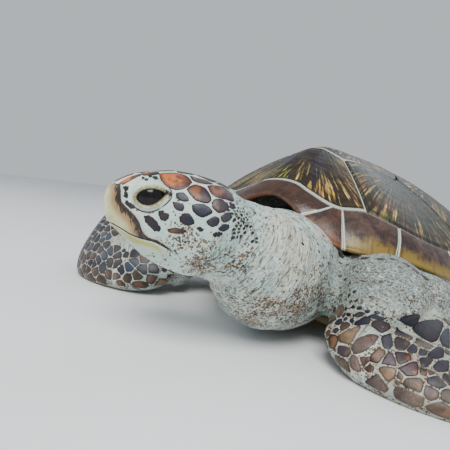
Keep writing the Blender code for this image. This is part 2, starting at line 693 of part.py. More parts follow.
def build_head():
    """Make the head with its eye sockets, the two halves of the beak and the eyes."""
    place = head_matrix()
    solid = loft("head", [head_ring(*station) for station in HEAD_STATIONS])
    head = new_object("head", solid, COLOUR_SKIN)
    half_gap = GAP / 2
    upper = prism("upper_wedge", BEAK_UPPER + ((MOUTH_CORNER[0], MOUTH_CORNER[1] + half_gap),
                                               (MOUTH_FRONT[0], MOUTH_FRONT[1] + half_gap)),
                  -HEAD_REACH, HEAD_REACH)
    lower = prism("lower_wedge", BEAK_LOWER + ((MOUTH_FRONT[0], MOUTH_FRONT[1] - half_gap),
                                               (MOUTH_CORNER[0], MOUTH_CORNER[1] - half_gap)),
                  -HEAD_REACH, HEAD_REACH)
    parts = [head]
    for name, wedge in (("beak_upper", upper), ("beak_lower", lower)):
        beak = new_object(name, head.data.copy(), COLOUR_BEAK)
        apply_boolean(beak, wedge, "INTERSECT")
        keep_largest(beak)
        parts.append(beak)
    for wedge in (upper, lower):
        cutter = grown_copy(wedge)
        apply_boolean(head, cutter, "DIFFERENCE")
        bpy.data.objects.remove(cutter)
        bpy.data.objects.remove(wedge)
    for side, label in ((1, "left"), (-1, "right")):
        centre = (EYE_CENTRE[0], EYE_CENTRE[1] * side, EYE_CENTRE[2])
        lids = new_object("lids", ball_mesh("lids", centre, EYE_RADIUS + LID_THICKNESS), COLOUR_SKIN)
        apply_boolean(head, lids, "UNION")
        bpy.data.objects.remove(lids)
        eye = new_object(f"eye_{label}", ball_mesh(f"eye_{label}", centre, EYE_RADIUS), COLOUR_EYE)
        opening = prism("opening", LID_OPENING, centre[1], side * HEAD_REACH)
        for cutter in (grown_copy(eye), opening):
            apply_boolean(head, cutter, "DIFFERENCE")
            bpy.data.objects.remove(cutter)
        parts.append(eye)
    keep_largest(head)
    for item in parts:
        item.data.transform(place)
    return head, parts[1:3]


def build_neck(head, beaks, trunk, plastron, rim):
    """Make the neck and cut it back from the head, the shell and the trunk."""
    neck = new_object("neck", spine_loft("neck", NECK_STATIONS, NECK_RING), COLOUR_SKIN)
    near = [plate for plate in rim if plate.name in ("nuchal", "marginal_left_1",
                                                     "marginal_right_1")]
    trim(neck, near, RIM_GAP)
    trim(neck, [trunk, plastron, head, *beaks])
    return neck


# ---- Limbs and tail ------------------------------------------------------------------------------
def mirrored(stations, side):
    """Spine stations of one side, with x turned over for the right side."""
    return [(row[0] * side, *row[1:]) for row in stations]


def claw_mesh(name, claw, side):
    """A short claw that tapers and bends down towards its tip."""
    root, direction, length, radius = claw
    along = Vector((direction[0] * side, *direction[1:])).normalized()
    start = Vector((root[0] * side, *root[1:])) - along * length * 0.3
    rows = []
    for i in range(CLAW_STEPS):
        t = i / (CLAW_STEPS - 1)
        centre = start + along * (length * 1.3 * t) - Vector((0, 0, 0.12 * length * t * t))
        width = max(radius * (1 - 0.9 * t**1.4), 0.0006)
        rows.append((*centre, width, width))
    return spine_loft(name, rows, CLAW_RING)


def build_limbs(trunk, plastron, rim, neck):
    """Make the arms, the four flippers with their claws, and the tail."""
    for side, label in ((1, "left"), (-1, "right")):
        front_rim = [plate for plate in rim
                     if plate.name in {f"marginal_{label}_{n}" for n in (1, 2, 3, 4, 5)}]
        rear_rim = [plate for plate in rim
                    if plate.name in {f"marginal_{label}_{n}" for n in (8, 9, 10, 11, 12)}]
        name = f"upper_arm_{label}"
        arm_mesh = spine_loft(name, mirrored(ARM_STATIONS, side), ARM_RING)
        arm = new_object(name, arm_mesh, COLOUR_SKIN)
        trim(arm, front_rim, RIM_GAP)
        trim(arm, [trunk, plastron, neck])
        name = f"front_flipper_{label}"
        front = LEFT_FLIPPER_STATIONS if side > 0 else RIGHT_FLIPPER_STATIONS
        mesh = blade_loft(name, front, FLIPPER_RING, side)
        flatten_foot(mesh)
        flipper = new_object(name, mesh, COLOUR_SKIN)
        trim(flipper, [arm, neck])
        name = f"hind_flipper_{label}"
        mesh = blade_loft(name, HIND_FLIPPER_STATIONS, FLIPPER_RING, side)
        flatten_foot(mesh)
        hind = new_object(name, mesh, COLOUR_SKIN)
        trim(hind, rear_rim, RIM_GAP)
        trim(hind, [trunk, plastron])
        front_claw = LEFT_FRONT_CLAW if side > 0 else RIGHT_FRONT_CLAW
        for name, claw, limb in ((f"claw_front_{label}", front_claw, flipper),
                                 (f"claw_hind_{label}", HIND_CLAW, hind)):
            nail = new_object(name, claw_mesh(name, claw, side), COLOUR_CLAW)
            trim(nail, [limb])
    mesh = spine_loft("tail", TAIL_STATIONS, TAIL_RING)
    flatten_foot(mesh)
    tail = new_object("tail", mesh, COLOUR_SKIN)
    trim(tail, [trunk, plastron])


def main():
    """Clear the scene and build the turtle."""
    for item in list(bpy.data.objects):
        bpy.data.objects.remove(item)
    trunk, plastron, rim = build_shell()
    head, beaks = build_head()
    neck = build_neck(head, beaks, trunk, plastron, rim)
    build_limbs(trunk, plastron, rim, neck)
    for item in bpy.data.objects:
        item.data.transform(Matrix.Translation((0, -REST_CENTRE_Y, 0)))


main()
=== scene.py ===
"""Green sea turtle at life size, dressed over its fixed frame of solids.

Frame: metres, +Z up, the floor at z = 0, the head towards -Y and the left side towards +X. The
origin is the middle of the flat underside of the plastron.
"""

import logging
import math
from dataclasses import dataclass
from enum import Enum
from typing import Iterable, Sequence, Union

import bmesh
import bpy
import numpy as np
from mathutils import Matrix, Vector
from mathutils.bvhtree import BVHTree
from mathutils.kdtree import KDTree

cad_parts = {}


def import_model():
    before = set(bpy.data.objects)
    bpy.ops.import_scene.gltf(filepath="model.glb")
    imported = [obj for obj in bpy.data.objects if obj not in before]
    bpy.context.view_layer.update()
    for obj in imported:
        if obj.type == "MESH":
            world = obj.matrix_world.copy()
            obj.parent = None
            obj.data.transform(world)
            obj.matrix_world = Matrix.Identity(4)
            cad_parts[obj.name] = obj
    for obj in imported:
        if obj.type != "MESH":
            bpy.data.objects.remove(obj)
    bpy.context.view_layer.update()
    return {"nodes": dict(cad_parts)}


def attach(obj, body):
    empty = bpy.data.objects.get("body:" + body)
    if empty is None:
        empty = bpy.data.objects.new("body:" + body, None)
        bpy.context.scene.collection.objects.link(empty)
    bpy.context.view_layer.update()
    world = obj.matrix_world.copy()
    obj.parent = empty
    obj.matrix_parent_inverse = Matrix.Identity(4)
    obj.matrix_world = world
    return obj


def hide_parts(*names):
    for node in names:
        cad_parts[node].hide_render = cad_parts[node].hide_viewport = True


LOG = logging.getLogger("turtle")
Colour = tuple[float, float, float]
Rows = Sequence[Sequence[float]]

# ---- Sizes of the frame, in metres ----
SHELL_LENGTH = 0.85
REST_Y = 0.40
DOME_CENTRE_Y = 0.25
DOME_TOP = 0.366
DOME_POWER = 0.888
DOME_SHAPE = (1.624, 1.659, 2.0)
RIM_RADIUS = ((0, 0.232), (15, 0.253), (30, 0.277), (45, 0.290), (60, 0.303), (75, 0.321),
              (90, 0.345), (105, 0.386), (120, 0.445), (135, 0.516), (150, 0.603), (165, 0.683),
              (180, 0.750))
RIM_HEIGHT = ((0, 0.250), (10, 0.238), (17, 0.216), (26, 0.190), (34, 0.176), (55, 0.170),
              (72, 0.150), (90, 0.134), (126, 0.128), (160, 0.096), (180, 0.086))
MARGINAL_WIDTH = ((0, 0.030), (10, 0.037), (20, 0.046), (32, 0.052), (44, 0.059), (54, 0.048),
                  (65, 0.041), (80, 0.040), (100, 0.056), (130, 0.070), (180, 0.085))
KEEL = ((0.176, 0.011), (0.400, 0.005), (0.610, 0.005), (0.800, 0.004))
KEEL_SPREAD = 0.058
PLASTRON_RADIUS = ((0, 0.125), (30, 0.150), (60, 0.205), (90, 0.245), (110, 0.275), (130, 0.340),
                   (150, 0.440), (165, 0.520), (180, 0.570))
# Where the plates of the rim meet, from the neck to the tail: angle at the dome, angle at the rim.
MARGINAL_SEAMS = ((29.5, 17), (33, 34), (57, 52.5), (80, 78), (96, 95), (110, 110), (122, 122),
                  (133, 133), (142.5, 142.5), (150.5, 150.5), (158, 158), (168, 168), (180, 180))
# Junctions down the row of vertebral plates, left side, as fractions of the shell's length.
CORNERS = ((0.066, 0.176), (0.150, 0.285), (0.075, 0.400), (0.145, 0.500), (0.065, 0.610),
           (0.125, 0.700), (0.050, 0.800))
COSTAL_SEAMS = (45, 98, 127, 149, 163)
PLATE_SEAM = 0.0016
PLATE_DEPTH = 0.0042


# ---- Reading tables and making meshes ----
def unit(rows: np.ndarray) -> np.ndarray:
    """Rows drawn to length 1."""
    return rows / np.linalg.norm(rows, axis=1)[:, None]


def lengths(path: np.ndarray) -> np.ndarray:
    """Length from a path's start to each of its points."""
    return np.concatenate(([0], np.cumsum(np.linalg.norm(np.diff(path, axis=0), axis=1))))


def full_turn(count: int) -> np.ndarray:
    """Angles of points spread evenly round a circle, in radians."""
    return 2 * np.pi * np.arange(count) / count


def read_table(rows: Rows, angle: np.ndarray) -> np.ndarray:
    """Read a table of (degrees from the front, value) smoothly, the same on both sides.

    Args:
        rows: the table, from 0 to 180 degrees.
        angle: one angle or an array of them.

    Returns:
        The values at the angles.
    """
    grid = np.asarray(rows, float)
    a = np.concatenate(([-grid[1, 0]], grid[:, 0], [360 - grid[-2, 0]]))
    v = np.concatenate(([grid[1, 1]], grid[:, 1], [grid[-2, 1]]))
    folded = np.abs((np.asarray(angle, float) + 180.0) % 360.0 - 180.0)
    i = np.clip(np.searchsorted(a, folded, side="right") - 1, 1, len(a) - 3)
    span = a[i + 1] - a[i]
    t = (folded - a[i]) / span
    slope_in = (v[i + 1] - v[i - 1]) / (a[i + 1] - a[i - 1]) * span
    slope_out = (v[i + 2] - v[i]) / (a[i + 2] - a[i]) * span
    return ((2 * t**3 - 3 * t**2 + 1) * v[i] + (t**3 - 2 * t**2 + t) * slope_in
            + (3 * t**2 - 2 * t**3) * v[i + 1] + (t**3 - t**2) * slope_out)


def smooth_step(low: float, high: float, value: np.ndarray) -> np.ndarray:
    """A soft step from 0 at low to 1 at high."""
    t = np.clip((np.asarray(value, float) - low) / (high - low), 0.0, 1.0)
    return t * t * (3 - 2 * t)


def catmull(points: np.ndarray, counts: Union[int, Sequence[int]], closed: bool = False) -> np.ndarray:
    """A smooth curve through points.

    Args:
        points: the points or stations, one a row.
        counts: how many steps each stretch gets, one number or one for each stretch.
        closed: whether the curve goes round.

    Returns:
        The points of the curve, the last one included only where it is open.
    """
    p = np.asarray(points, float)
    n = len(p)
    stretches = n if closed else n - 1
    steps = [counts] * stretches if isinstance(counts, int) else list(counts)
    if closed:
        full = np.vstack((p[-1:], p, p[:2]))
    else:
        full = np.vstack((2 * p[:1] - p[1:2], p, 2 * p[-1:] - p[-2:-1]))
    out = []
    for i in range(stretches):
        a, b, c, d = full[i:i + 4]
        t = (np.arange(steps[i]) / steps[i])[:, None]
        out.append(0.5 * (2 * b + (c - a) * t + (2 * a - 5 * b + 4 * c - d) * t**2
                          + (3 * b - a - 3 * c + d) * t**3))
    curve = np.vstack(out)
    return curve if closed else np.vstack((curve, p[-1:]))


def signed_distance(points: np.ndarray, loop: np.ndarray) -> np.ndarray:
    """Distance in a plane from points to a closed loop, negative inside it.

    Args:
        points: an array of (u, v) rows.
        loop: the loop's corners in order.

    Returns:
        One signed distance for each point.
    """
    best = np.full(len(points), 1e9)
    inside = np.zeros(len(points), bool)
    for a, b in zip(loop, np.roll(loop, -1, axis=0)):
        along = b - a
        t = np.clip(((points - a) @ along) / max(along @ along, 1e-18), 0, 1)
        best = np.minimum(best, np.linalg.norm(points - a - t[:, None] * along, axis=1))
        crosses = (a[1] > points[:, 1]) != (b[1] > points[:, 1])
        rise = np.where(crosses, (points[:, 1] - a[1]) / (b[1] - a[1] + 1e-18), 0)
        inside ^= crosses & (points[:, 0] < a[0] + rise * (b[0] - a[0]))
    return np.where(inside, -best, best)


def path_distance(points: np.ndarray, path: np.ndarray) -> tuple[np.ndarray, np.ndarray]:
    """Distance from points to an open path, and how far along it the nearest place is.

    Args:
        points: an array of points of any dimension.
        path: the path's corners.

    Returns:
        The distances and the lengths along the path.
    """
    best = np.full(len(points), 1e9)
    along = np.zeros(len(points))
    start = 0.0
    for a, b in zip(path[:-1], path[1:]):
        leg = b - a
        length = float(np.linalg.norm(leg))
        t = np.clip(((points - a) @ leg) / max(length**2, 1e-18), 0, 1)
        away = np.linalg.norm(points - a - t[:, None] * leg, axis=1)
        closer = away < best
        best = np.where(closer, away, best)
        along = np.where(closer, start + t * length, along)
        start += length
    return best, along


def new_piece(name: str, points: np.ndarray, faces: Iterable[Sequence[int]],
              finish: Union[bpy.types.Material, None], turn_out: bool = True) -> bpy.types.Object:
    """Make a mesh object at the origin with its faces turned outwards, shaded smooth.

    Args:
        name: the object's name.
        points: vertex places.
        faces: vertex indices of each face.
        finish: the material.
        turn_out: whether to work the normals out again.

    Returns:
        The linked object.
    """
    mesh = bpy.data.meshes.new(name)
    mesh.from_pydata(np.asarray(points, float).tolist(), [], [list(face) for face in faces])
    if turn_out:
        body = bmesh.new()
        body.from_mesh(mesh)
        bmesh.ops.recalc_face_normals(body, faces=body.faces[:])
        body.to_mesh(mesh)
        body.free()
    mesh.validate()
    mesh.shade_smooth()
    if finish:
        mesh.materials.append(finish)
    item = bpy.data.objects.new(name, mesh)
    bpy.context.scene.collection.objects.link(item)
    return item


def paint(item: bpy.types.Object, name: str, values: np.ndarray) -> None:
    """Store one number, vector or colour for each vertex of a piece.

    Args:
        item: the piece.
        name: the attribute's name.
        values: one row for each vertex; three columns make a vector, four a colour.
    """
    values = np.asarray(values, np.float32)
    if values.ndim == 1:
        kind, key = "FLOAT", "value"
    elif values.shape[1] == 3:
        kind, key = "FLOAT_VECTOR", "vector"
    else:
        kind, key = "FLOAT_COLOR", "color"
    layer = item.data.attributes.new(name, kind, "POINT")
    layer.data.foreach_set(key, values.ravel())


def places(item: bpy.types.Object) -> np.ndarray:
    """Every vertex place of an object as an array."""
    out = np.zeros(len(item.data.vertices) * 3, np.float32)
    item.data.vertices.foreach_get("co", out)
    return out.reshape(-1, 3).astype(float)


def place_all(item: bpy.types.Object, points: np.ndarray) -> None:
    """Move every vertex of an object to its row of an array."""
    item.data.vertices.foreach_set("co", np.asarray(points, np.float32).ravel())
    item.data.update()


def ring_faces(rings: int, count: int, caps: bool = True, closed: bool = True) -> list[list[int]]:
    """Faces that join rings of the same number of points.

    Args:
        rings: how many rings.
        count: points in a ring.
        caps: whether to close both ends with one face each.
        closed: whether each ring goes round.

    Returns:
        The faces.
    """
    faces = []
    for i in range(rings - 1):
        for j in range(count if closed else count - 1):
            k = (j + 1) % count
            faces.append([i * count + j, i * count + k, (i + 1) * count + k, (i + 1) * count + j])
    if caps:
        faces.append(list(range(count))[::-1])
        faces.append([(rings - 1) * count + j for j in range(count)])
    return faces


def fan(start: int, count: int, hub: int, turned: bool = False) -> list[list[int]]:
    """Triangles that join a ring to a hub.

    Args:
        start: the ring's first point.
        count: points in the ring.
        hub: the hub's point.
        turned: whether the faces look the other way.

    Returns:
        The faces.
    """
    pairs = [(start + j, start + (j + 1) % count) for j in range(count)]
    return [[b, a, hub] if turned else [a, b, hub] for a, b in pairs]


def tube(centres: np.ndarray, wide: np.ndarray, high: np.ndarray, count: int) -> np.ndarray:
    """Rings of elliptical sections along a path.

    Args:
        centres: the middle of each section.
        wide: half widths, in one column.
        high: half heights, in one column.
        count: points in a ring.

    Returns:
        An array of rings of points.
    """
    ahead = np.gradient(centres, axis=0)
    across = unit(np.cross(ahead, (0, 0, 1)))
    up = unit(np.cross(across, ahead))
    turn = full_turn(count)
    return (centres[:, None] + across[:, None] * (wide * np.cos(turn))[..., None]
            + up[:, None] * (high * np.sin(turn))[..., None])


def from_nuchal(stations: Rows, side: int, starts: Sequence[int] = (0,)) -> np.ndarray:
    """Stations of one side in the model's frame.

    Args:
        stations: rows whose y counts from the nuchal, on the left.
        side: 1 for the left, -1 for the right.
        starts: the columns of x that a y and a z follow.

    Returns:
        The rows.
    """
    rows = np.array(stations, float)
    for column in starts:
        rows[:, column] *= side
        rows[:, column + 1] -= REST_Y
    return rows


def halo(points: np.ndarray, spots: Rows) -> np.ndarray:
    """How near points lie to the nearest of some spots.

    Args:
        points: the points.
        spots: x, y, z and reach of each spot.

    Returns:
        1 at a spot, falling towards 0.
    """
    return np.max([np.exp(-(np.linalg.norm(points - spot[:3], axis=1) / spot[3]) ** 2)
                   for spot in spots], axis=0)


def settle(item: bpy.types.Object, name: str) -> bpy.types.Mesh:
    """Replace an object's mesh by what its modifiers make of it.

    Args:
        item: the object.
        name: the new mesh's name.

    Returns:
        The new mesh.
    """
    graph = bpy.context.evaluated_depsgraph_get()
    made = bpy.data.meshes.new_from_object(item.evaluated_get(graph))
    item.modifiers.clear()
    old = item.data
    item.data = made
    bpy.data.meshes.remove(old)
    made.name = name
    return made


def tree_of(item: bpy.types.Object) -> BVHTree:
    """A search tree over an object's faces."""
    mesh = item.data
    return BVHTree.FromPolygons([v.co[:] for v in mesh.vertices],
                                [p.vertices[:] for p in mesh.polygons])


# ---- Writing materials ----
class Sock:
    """A number from a shader node, usable in Python expressions."""

    def __init__(self, shade: "Shade", socket: bpy.types.NodeSocket) -> None:
        """Keep the material being written and the node's output."""
        self.shade = shade
        self.socket = socket

    def __add__(self, other: "Value") -> "Sock":
        """Sum."""
        return self.shade.math("ADD", self, other)

    __radd__ = __add__

    def __sub__(self, other: "Value") -> "Sock":
        """Difference."""
        return self.shade.math("SUBTRACT", self, other)

    def __rsub__(self, other: "Value") -> "Sock":
        """Difference, turned round."""
        return self.shade.math("SUBTRACT", other, self)

    def __mul__(self, other: "Value") -> "Sock":
        """Product."""
        return self.shade.math("MULTIPLY", self, other)

    __rmul__ = __mul__

    def __truediv__(self, other: "Value") -> "Sock":
        """Quotient."""
        return self.shade.math("DIVIDE", self, other)

    def __pow__(self, other: "Value") -> "Sock":
        """Power."""
        return self.shade.math("POWER", self, other)


Value = Union[Sock, float, int]
Paint = Union[Sock, Colour]


class Shade:
    """One node material while it is written, with a method for each kind of step."""

    def __init__(self, name: str, roughness: float = 0.5) -> None:
        """Start a material with its Principled shader.

        Args:
            name: the material's name.
            roughness: its roughness where nothing varies it.
        """
        self.material = bpy.data.materials.new(name)
        self.material.use_nodes = True
        self.tree = self.material.node_tree
        self.shader = self.tree.nodes["Principled BSDF"]
        self.shader.inputs["Roughness"].default_value = roughness

    def node(self, kind: str, settings: dict, inputs: dict) -> bpy.types.Node:
        """Add any node.

        Args:
            kind: the node's type.
            settings: its own settings, set first.
            inputs: values or links for its sockets, by name or number.

        Returns:
            The node.
        """
        made = self.tree.nodes.new(kind)
        for key, value in settings.items():
            setattr(made, key, value)
        for key, value in inputs.items():
            self.feed(made.inputs[key], value)
        return made

    def feed(self, socket: bpy.types.NodeSocket, value: Union[Sock, float, Colour]) -> None:
        """Link a socket or set its value.

        Args:
            socket: the socket.
            value: what it is given.
        """
        if isinstance(value, Sock):
            self.tree.links.new(value.socket, socket)
        elif isinstance(value, tuple) and len(socket.default_value) == 4:
            socket.default_value = (*value, 1.0)
        else:
            socket.default_value = value

    def math(self, operation: str, a: Value, b: Value = 0.0, clamp: bool = False) -> Sock:
        """One Math node."""
        made = self.node("ShaderNodeMath", {"operation": operation, "use_clamp": clamp},
                         {0: a, 1: b})
        return Sock(self, made.outputs[0])

    def step(self, value: Value, low: float, high: float, start: float = 0.0,
             end: float = 1.0) -> Sock:
        """A soft step of a value from start at low to end at high."""
        made = self.node("ShaderNodeMapRange", {"interpolation_type": "SMOOTHSTEP"},
                         {0: value, 1: low, 2: high, 3: start, 4: end})
        return Sock(self, made.outputs[0])

    def read(self, name: str, part: str = "Fac") -> Sock:
        """An attribute of the mesh; part is Fac, Vector or Color."""
        made = self.node("ShaderNodeAttribute", {"attribute_name": name}, {})
        return Sock(self, made.outputs[part])

    def place(self) -> Sock:
        """Object coordinates."""
        return Sock(self, self.node("ShaderNodeTexCoord", {}, {}).outputs["Object"])

    def scaled(self, vector: Sock, scale: Colour) -> Sock:
        """A vector stretched along its axes."""
        made = self.node("ShaderNodeVectorMath", {"operation": "MULTIPLY"}, {0: vector, 1: scale})
        return Sock(self, made.outputs[0])

    def noise(self, vector: Sock, scale: float, detail: float = 2.0, rough: float = 0.5,
              warp: float = 0.0) -> Sock:
        """Noise from 0 to 1.

        Args:
            vector: the place it is read at.
            scale: its scale.
            detail: its octaves.
            rough: weight of the finer octaves.
            warp: how far it is distorted.

        Returns:
            The noise's value.
        """
        made = self.node("ShaderNodeTexNoise", {},
                         {"Vector": vector, "Scale": scale, "Detail": detail,
                          "Roughness": rough, "Distortion": warp})
        return Sock(self, made.outputs[0])

    def cells(self, vector: Sock, scale: float, feature: str = "F1", output: str = "Distance",
              random: float = 1.0) -> Sock:
        """A Voronoi pattern."""
        made = self.node("ShaderNodeTexVoronoi", {"feature": feature},
                         {"Vector": vector, "Scale": scale, "Randomness": random})
        return Sock(self, made.outputs[output])

    def mix(self, factor: Value, a: Paint, b: Paint, blend: str = "MIX") -> Sock:
        """Mix two colours."""
        made = self.node("ShaderNodeMix", {"data_type": "RGBA", "blend_type": blend,
                                           "clamp_factor": True}, {0: factor, 6: a, 7: b})
        return Sock(self, made.outputs[2])

    def finish(self, colour: Paint, roughness: Value = None, height: Value = None,
               lift: float = 0.001, strength: float = 1.0, **fixed: float) -> bpy.types.Material:
        """Feed the shader and hand the material over.

        Args:
            colour: the base colour.
            roughness: the roughness, where it varies.
            height: what the bump follows.
            lift: how far the bump rises, in metres.
            strength: how strong the bump is.
            fixed: constants of the shader's sockets, with spaces as underscores.

        Returns:
            The material.
        """
        self.feed(self.shader.inputs["Base Color"], colour)
        if roughness is not None:
            self.feed(self.shader.inputs["Roughness"], roughness)
        if height is not None:
            bump = self.node("ShaderNodeBump", {}, {"Strength": strength, "Distance": lift,
                                                    "Height": height})
            self.tree.links.new(bump.outputs[0], self.shader.inputs["Normal"])
        for key, value in fixed.items():
            self.shader.inputs[key.replace("_", " ")].default_value = value
        return self.material


# ---- Finishes of the shell ----
@dataclass(frozen=True)
class DomeFinish:
    """Wet horn of the dome: dark, with pale rays towards the lower edge and a painted blue sheen standing
    for the sky's reflection.
    """

    name: str
    ground: Colour = (0.010, 0.006, 0.007)
    # Colour of the painted sky reflection on the dome.
    painted_sky_sheen: Colour = (0.020, 0.058, 0.145)
    ray: Colour = (0.330, 0.230, 0.030)
    ray_bright: Colour = (0.760, 0.620, 0.200)
    ray_pink: Colour = (0.260, 0.110, 0.060)
    border: Colour = (0.480, 0.520, 0.440)
    border_amount: float = 0.75

    def build(self) -> bpy.types.Material:
        """Write the material.

        Returns:
            A material that reads the plate's ray, growth and seam attributes.
        """
        s = Shade(self.name)
        ray = s.read("ray", "Vector")
        out = s.read("growth")
        seam = s.read("seam")
        glow = s.read("glow")
        place = s.place()
        fine = s.noise(s.scaled(ray, (1.0, 1.0, 0.35)), 1.0, 3.0, 0.62)
        broad = s.noise(s.scaled(ray, (0.30, 0.30, 0.22)), 1.0, 2.0, 0.5)
        blotch = s.noise(place, 26.0, 3.0, 0.6)
        reach = s.step(out + (fine - 0.5) * 0.55 + (broad - 0.5) * 0.4, 0.46, 0.92)
        streak = s.step(fine + (broad - 0.5) * 0.55, 0.50, 0.64) * reach * glow
        bright = s.step(fine + (blotch - 0.5) * 0.25, 0.60, 0.74) * reach * glow
        tone = s.mix(s.step(blotch, 0.40, 0.68), self.ray, self.ray_pink)
        tone = s.mix(s.step(s.noise(place, 19.0, 2.0, 0.5), 0.50, 0.64) * 0.8, tone,
                     (0.150, 0.190, 0.030))
        base = s.mix(s.step(blotch, 0.30, 0.75), self.ground, (0.040, 0.028, 0.016))
        # Painted reflection: a blue sheen of the sky laid into the colour in broad patches.
        sheen = s.noise(place, 7.0, 2.0, 0.5)
        base = s.mix(s.step(sheen + (out - 0.5) * -0.25, 0.52, 0.84) * 0.80, base, self.painted_sky_sheen)
        base = s.mix(streak * 0.88, base, tone)
        base = s.mix(bright * 0.80, base, self.ray_bright)
        rings = s.math("SINE", out * 64.0 + broad * 5.0)
        base = s.mix(s.step(rings, 0.55, 1.0) * 0.35, base, (0.010, 0.008, 0.007))
        edge = s.step(seam + (fine - 0.5) * 0.0012, 0.0034, 0.0018)
        # Painted shadow: a dark band in the groove just inside each seam.
        dark = s.step(seam, 0.0075, 0.0038) * s.step(seam, 0.0016, 0.0034)
        base = s.mix(dark * 0.7, base, (0.008, 0.007, 0.006))
        base = s.mix(edge * self.border_amount, base, self.border)
        grain = s.noise(s.scaled(ray, (2.6, 2.6, 1.2)), 1.0, 3.0, 0.6)
        height = rings * 0.10 + grain * 0.45 + blotch * 0.5 + fine * 0.35
        rough = s.step(grain, 0.2, 0.9, 0.24, 0.46) + edge * 0.15
        return s.finish(base, rough, height, 0.0011, 0.55, Coat_Weight=0.04, Coat_Roughness=0.12,
                        Specular_IOR_Level=0.15)


@dataclass(frozen=True)
class RimFinish:
    """Horn of the rim: chestnut above, with a warm mottled band towards the edge."""

    name: str
    ground: Colour
    warm: Colour
    band: Colour
    border: Colour = (0.560, 0.640, 0.570)
    band_start: float = 0.45

    def build(self) -> bpy.types.Material:
        """Write the material.

        Returns:
            A material that reads the plate's attributes.
        """
        s = Shade(self.name)
        across = s.read("growth")
        seam = s.read("seam")
        ray = s.read("ray", "Vector")
        place = s.place()
        fine = s.noise(s.scaled(ray, (1.0, 1.0, 0.30)), 1.0, 3.0, 0.6)
        blotch = s.noise(place, 42.0, 4.0, 0.62, 0.6)
        small = s.noise(place, 160.0, 3.0, 0.6)
        base = s.mix(s.step(blotch, 0.38, 0.66), self.ground, self.warm)
        shade = s.step(small + (blotch - 0.5) * 0.6, 0.52, 0.70)
        base = s.mix(shade * 0.55, base, (0.030, 0.018, 0.014))
        reach = s.step(across + (fine - 0.5) * 0.35 + (blotch - 0.5) * 0.5, self.band_start,
                       self.band_start + 0.28)
        base = s.mix(reach * 0.85, base, self.band)
        streak = s.step(fine, 0.54, 0.66) * s.step(across, 0.30, 0.65)
        base = s.mix(streak * 0.60, base, (0.060, 0.034, 0.022))
        # Painted shadow: a dark band in the groove just inside each seam.
        dark = s.step(seam, 0.0085, 0.0050) * s.step(seam, 0.0026, 0.0046)
        base = s.mix(dark * 0.50, base, (0.022, 0.015, 0.014))
        edge = s.step(seam + (fine - 0.5) * 0.0018 + (small - 0.5) * 0.0010, 0.0025, 0.0012)
        base = s.mix(edge * 0.88, base, self.border)
        height = blotch * 0.7 + small * 0.35 + fine * 0.5
        rough = s.step(small, 0.2, 0.9, 0.20, 0.42)
        return s.finish(base, rough, height, 0.0012, 0.5, Coat_Weight=0.10, Coat_Roughness=0.16,
                        Specular_IOR_Level=0.35)


@dataclass(frozen=True)
class PlastronFinish:
    """Cream horn of the lower shell, with faint growth lines and a few stains."""

    name: str = "plastron_horn"

    def build(self) -> bpy.types.Material:
        """Write the material.

        Returns:
            The material.
        """
        s = Shade(self.name)
        place = s.place()
        grain = s.noise(s.scaled(place, (1.0, 0.35, 1.0)), 60.0, 3.0, 0.6)
        stain = s.noise(place, 9.0, 3.0, 0.6)
        across = s.cells(s.scaled(place, (1.0, 0.8, 0.0)), 7.0, "DISTANCE_TO_EDGE", "Distance", 0.3)
        base = s.mix(s.step(stain, 0.35, 0.75), (0.680, 0.580, 0.330), (0.560, 0.430, 0.210))
        base = s.mix(s.step(grain, 0.55, 0.75) * 0.4, base, (0.400, 0.280, 0.130))
        base = s.mix(s.step(across, 0.022, 0.008) * 0.6, base, (0.300, 0.220, 0.120))
        return s.finish(base, s.step(grain, 0.2, 0.8, 0.32, 0.52), grain + across, 0.001, 0.5)


@dataclass(frozen=True)
class BedFinish:
    """Dark sheet that shows in the seams between plates as painted shade deep in the gaps."""

    name: str = "seam_shade_sheet"

    def build(self) -> bpy.types.Material:
        """Write the material.

        Returns:
            The material.
        """
        s = Shade(self.name, 0.6)
        speck = s.noise(s.place(), 220.0, 3.0, 0.6)
        # Painted shade: near black, seen only through the seams.
        base = s.mix(s.step(speck, 0.45, 0.65), (0.014, 0.012, 0.011), (0.060, 0.060, 0.052))
        return s.finish(base, None, speck, 0.0006, 0.6)


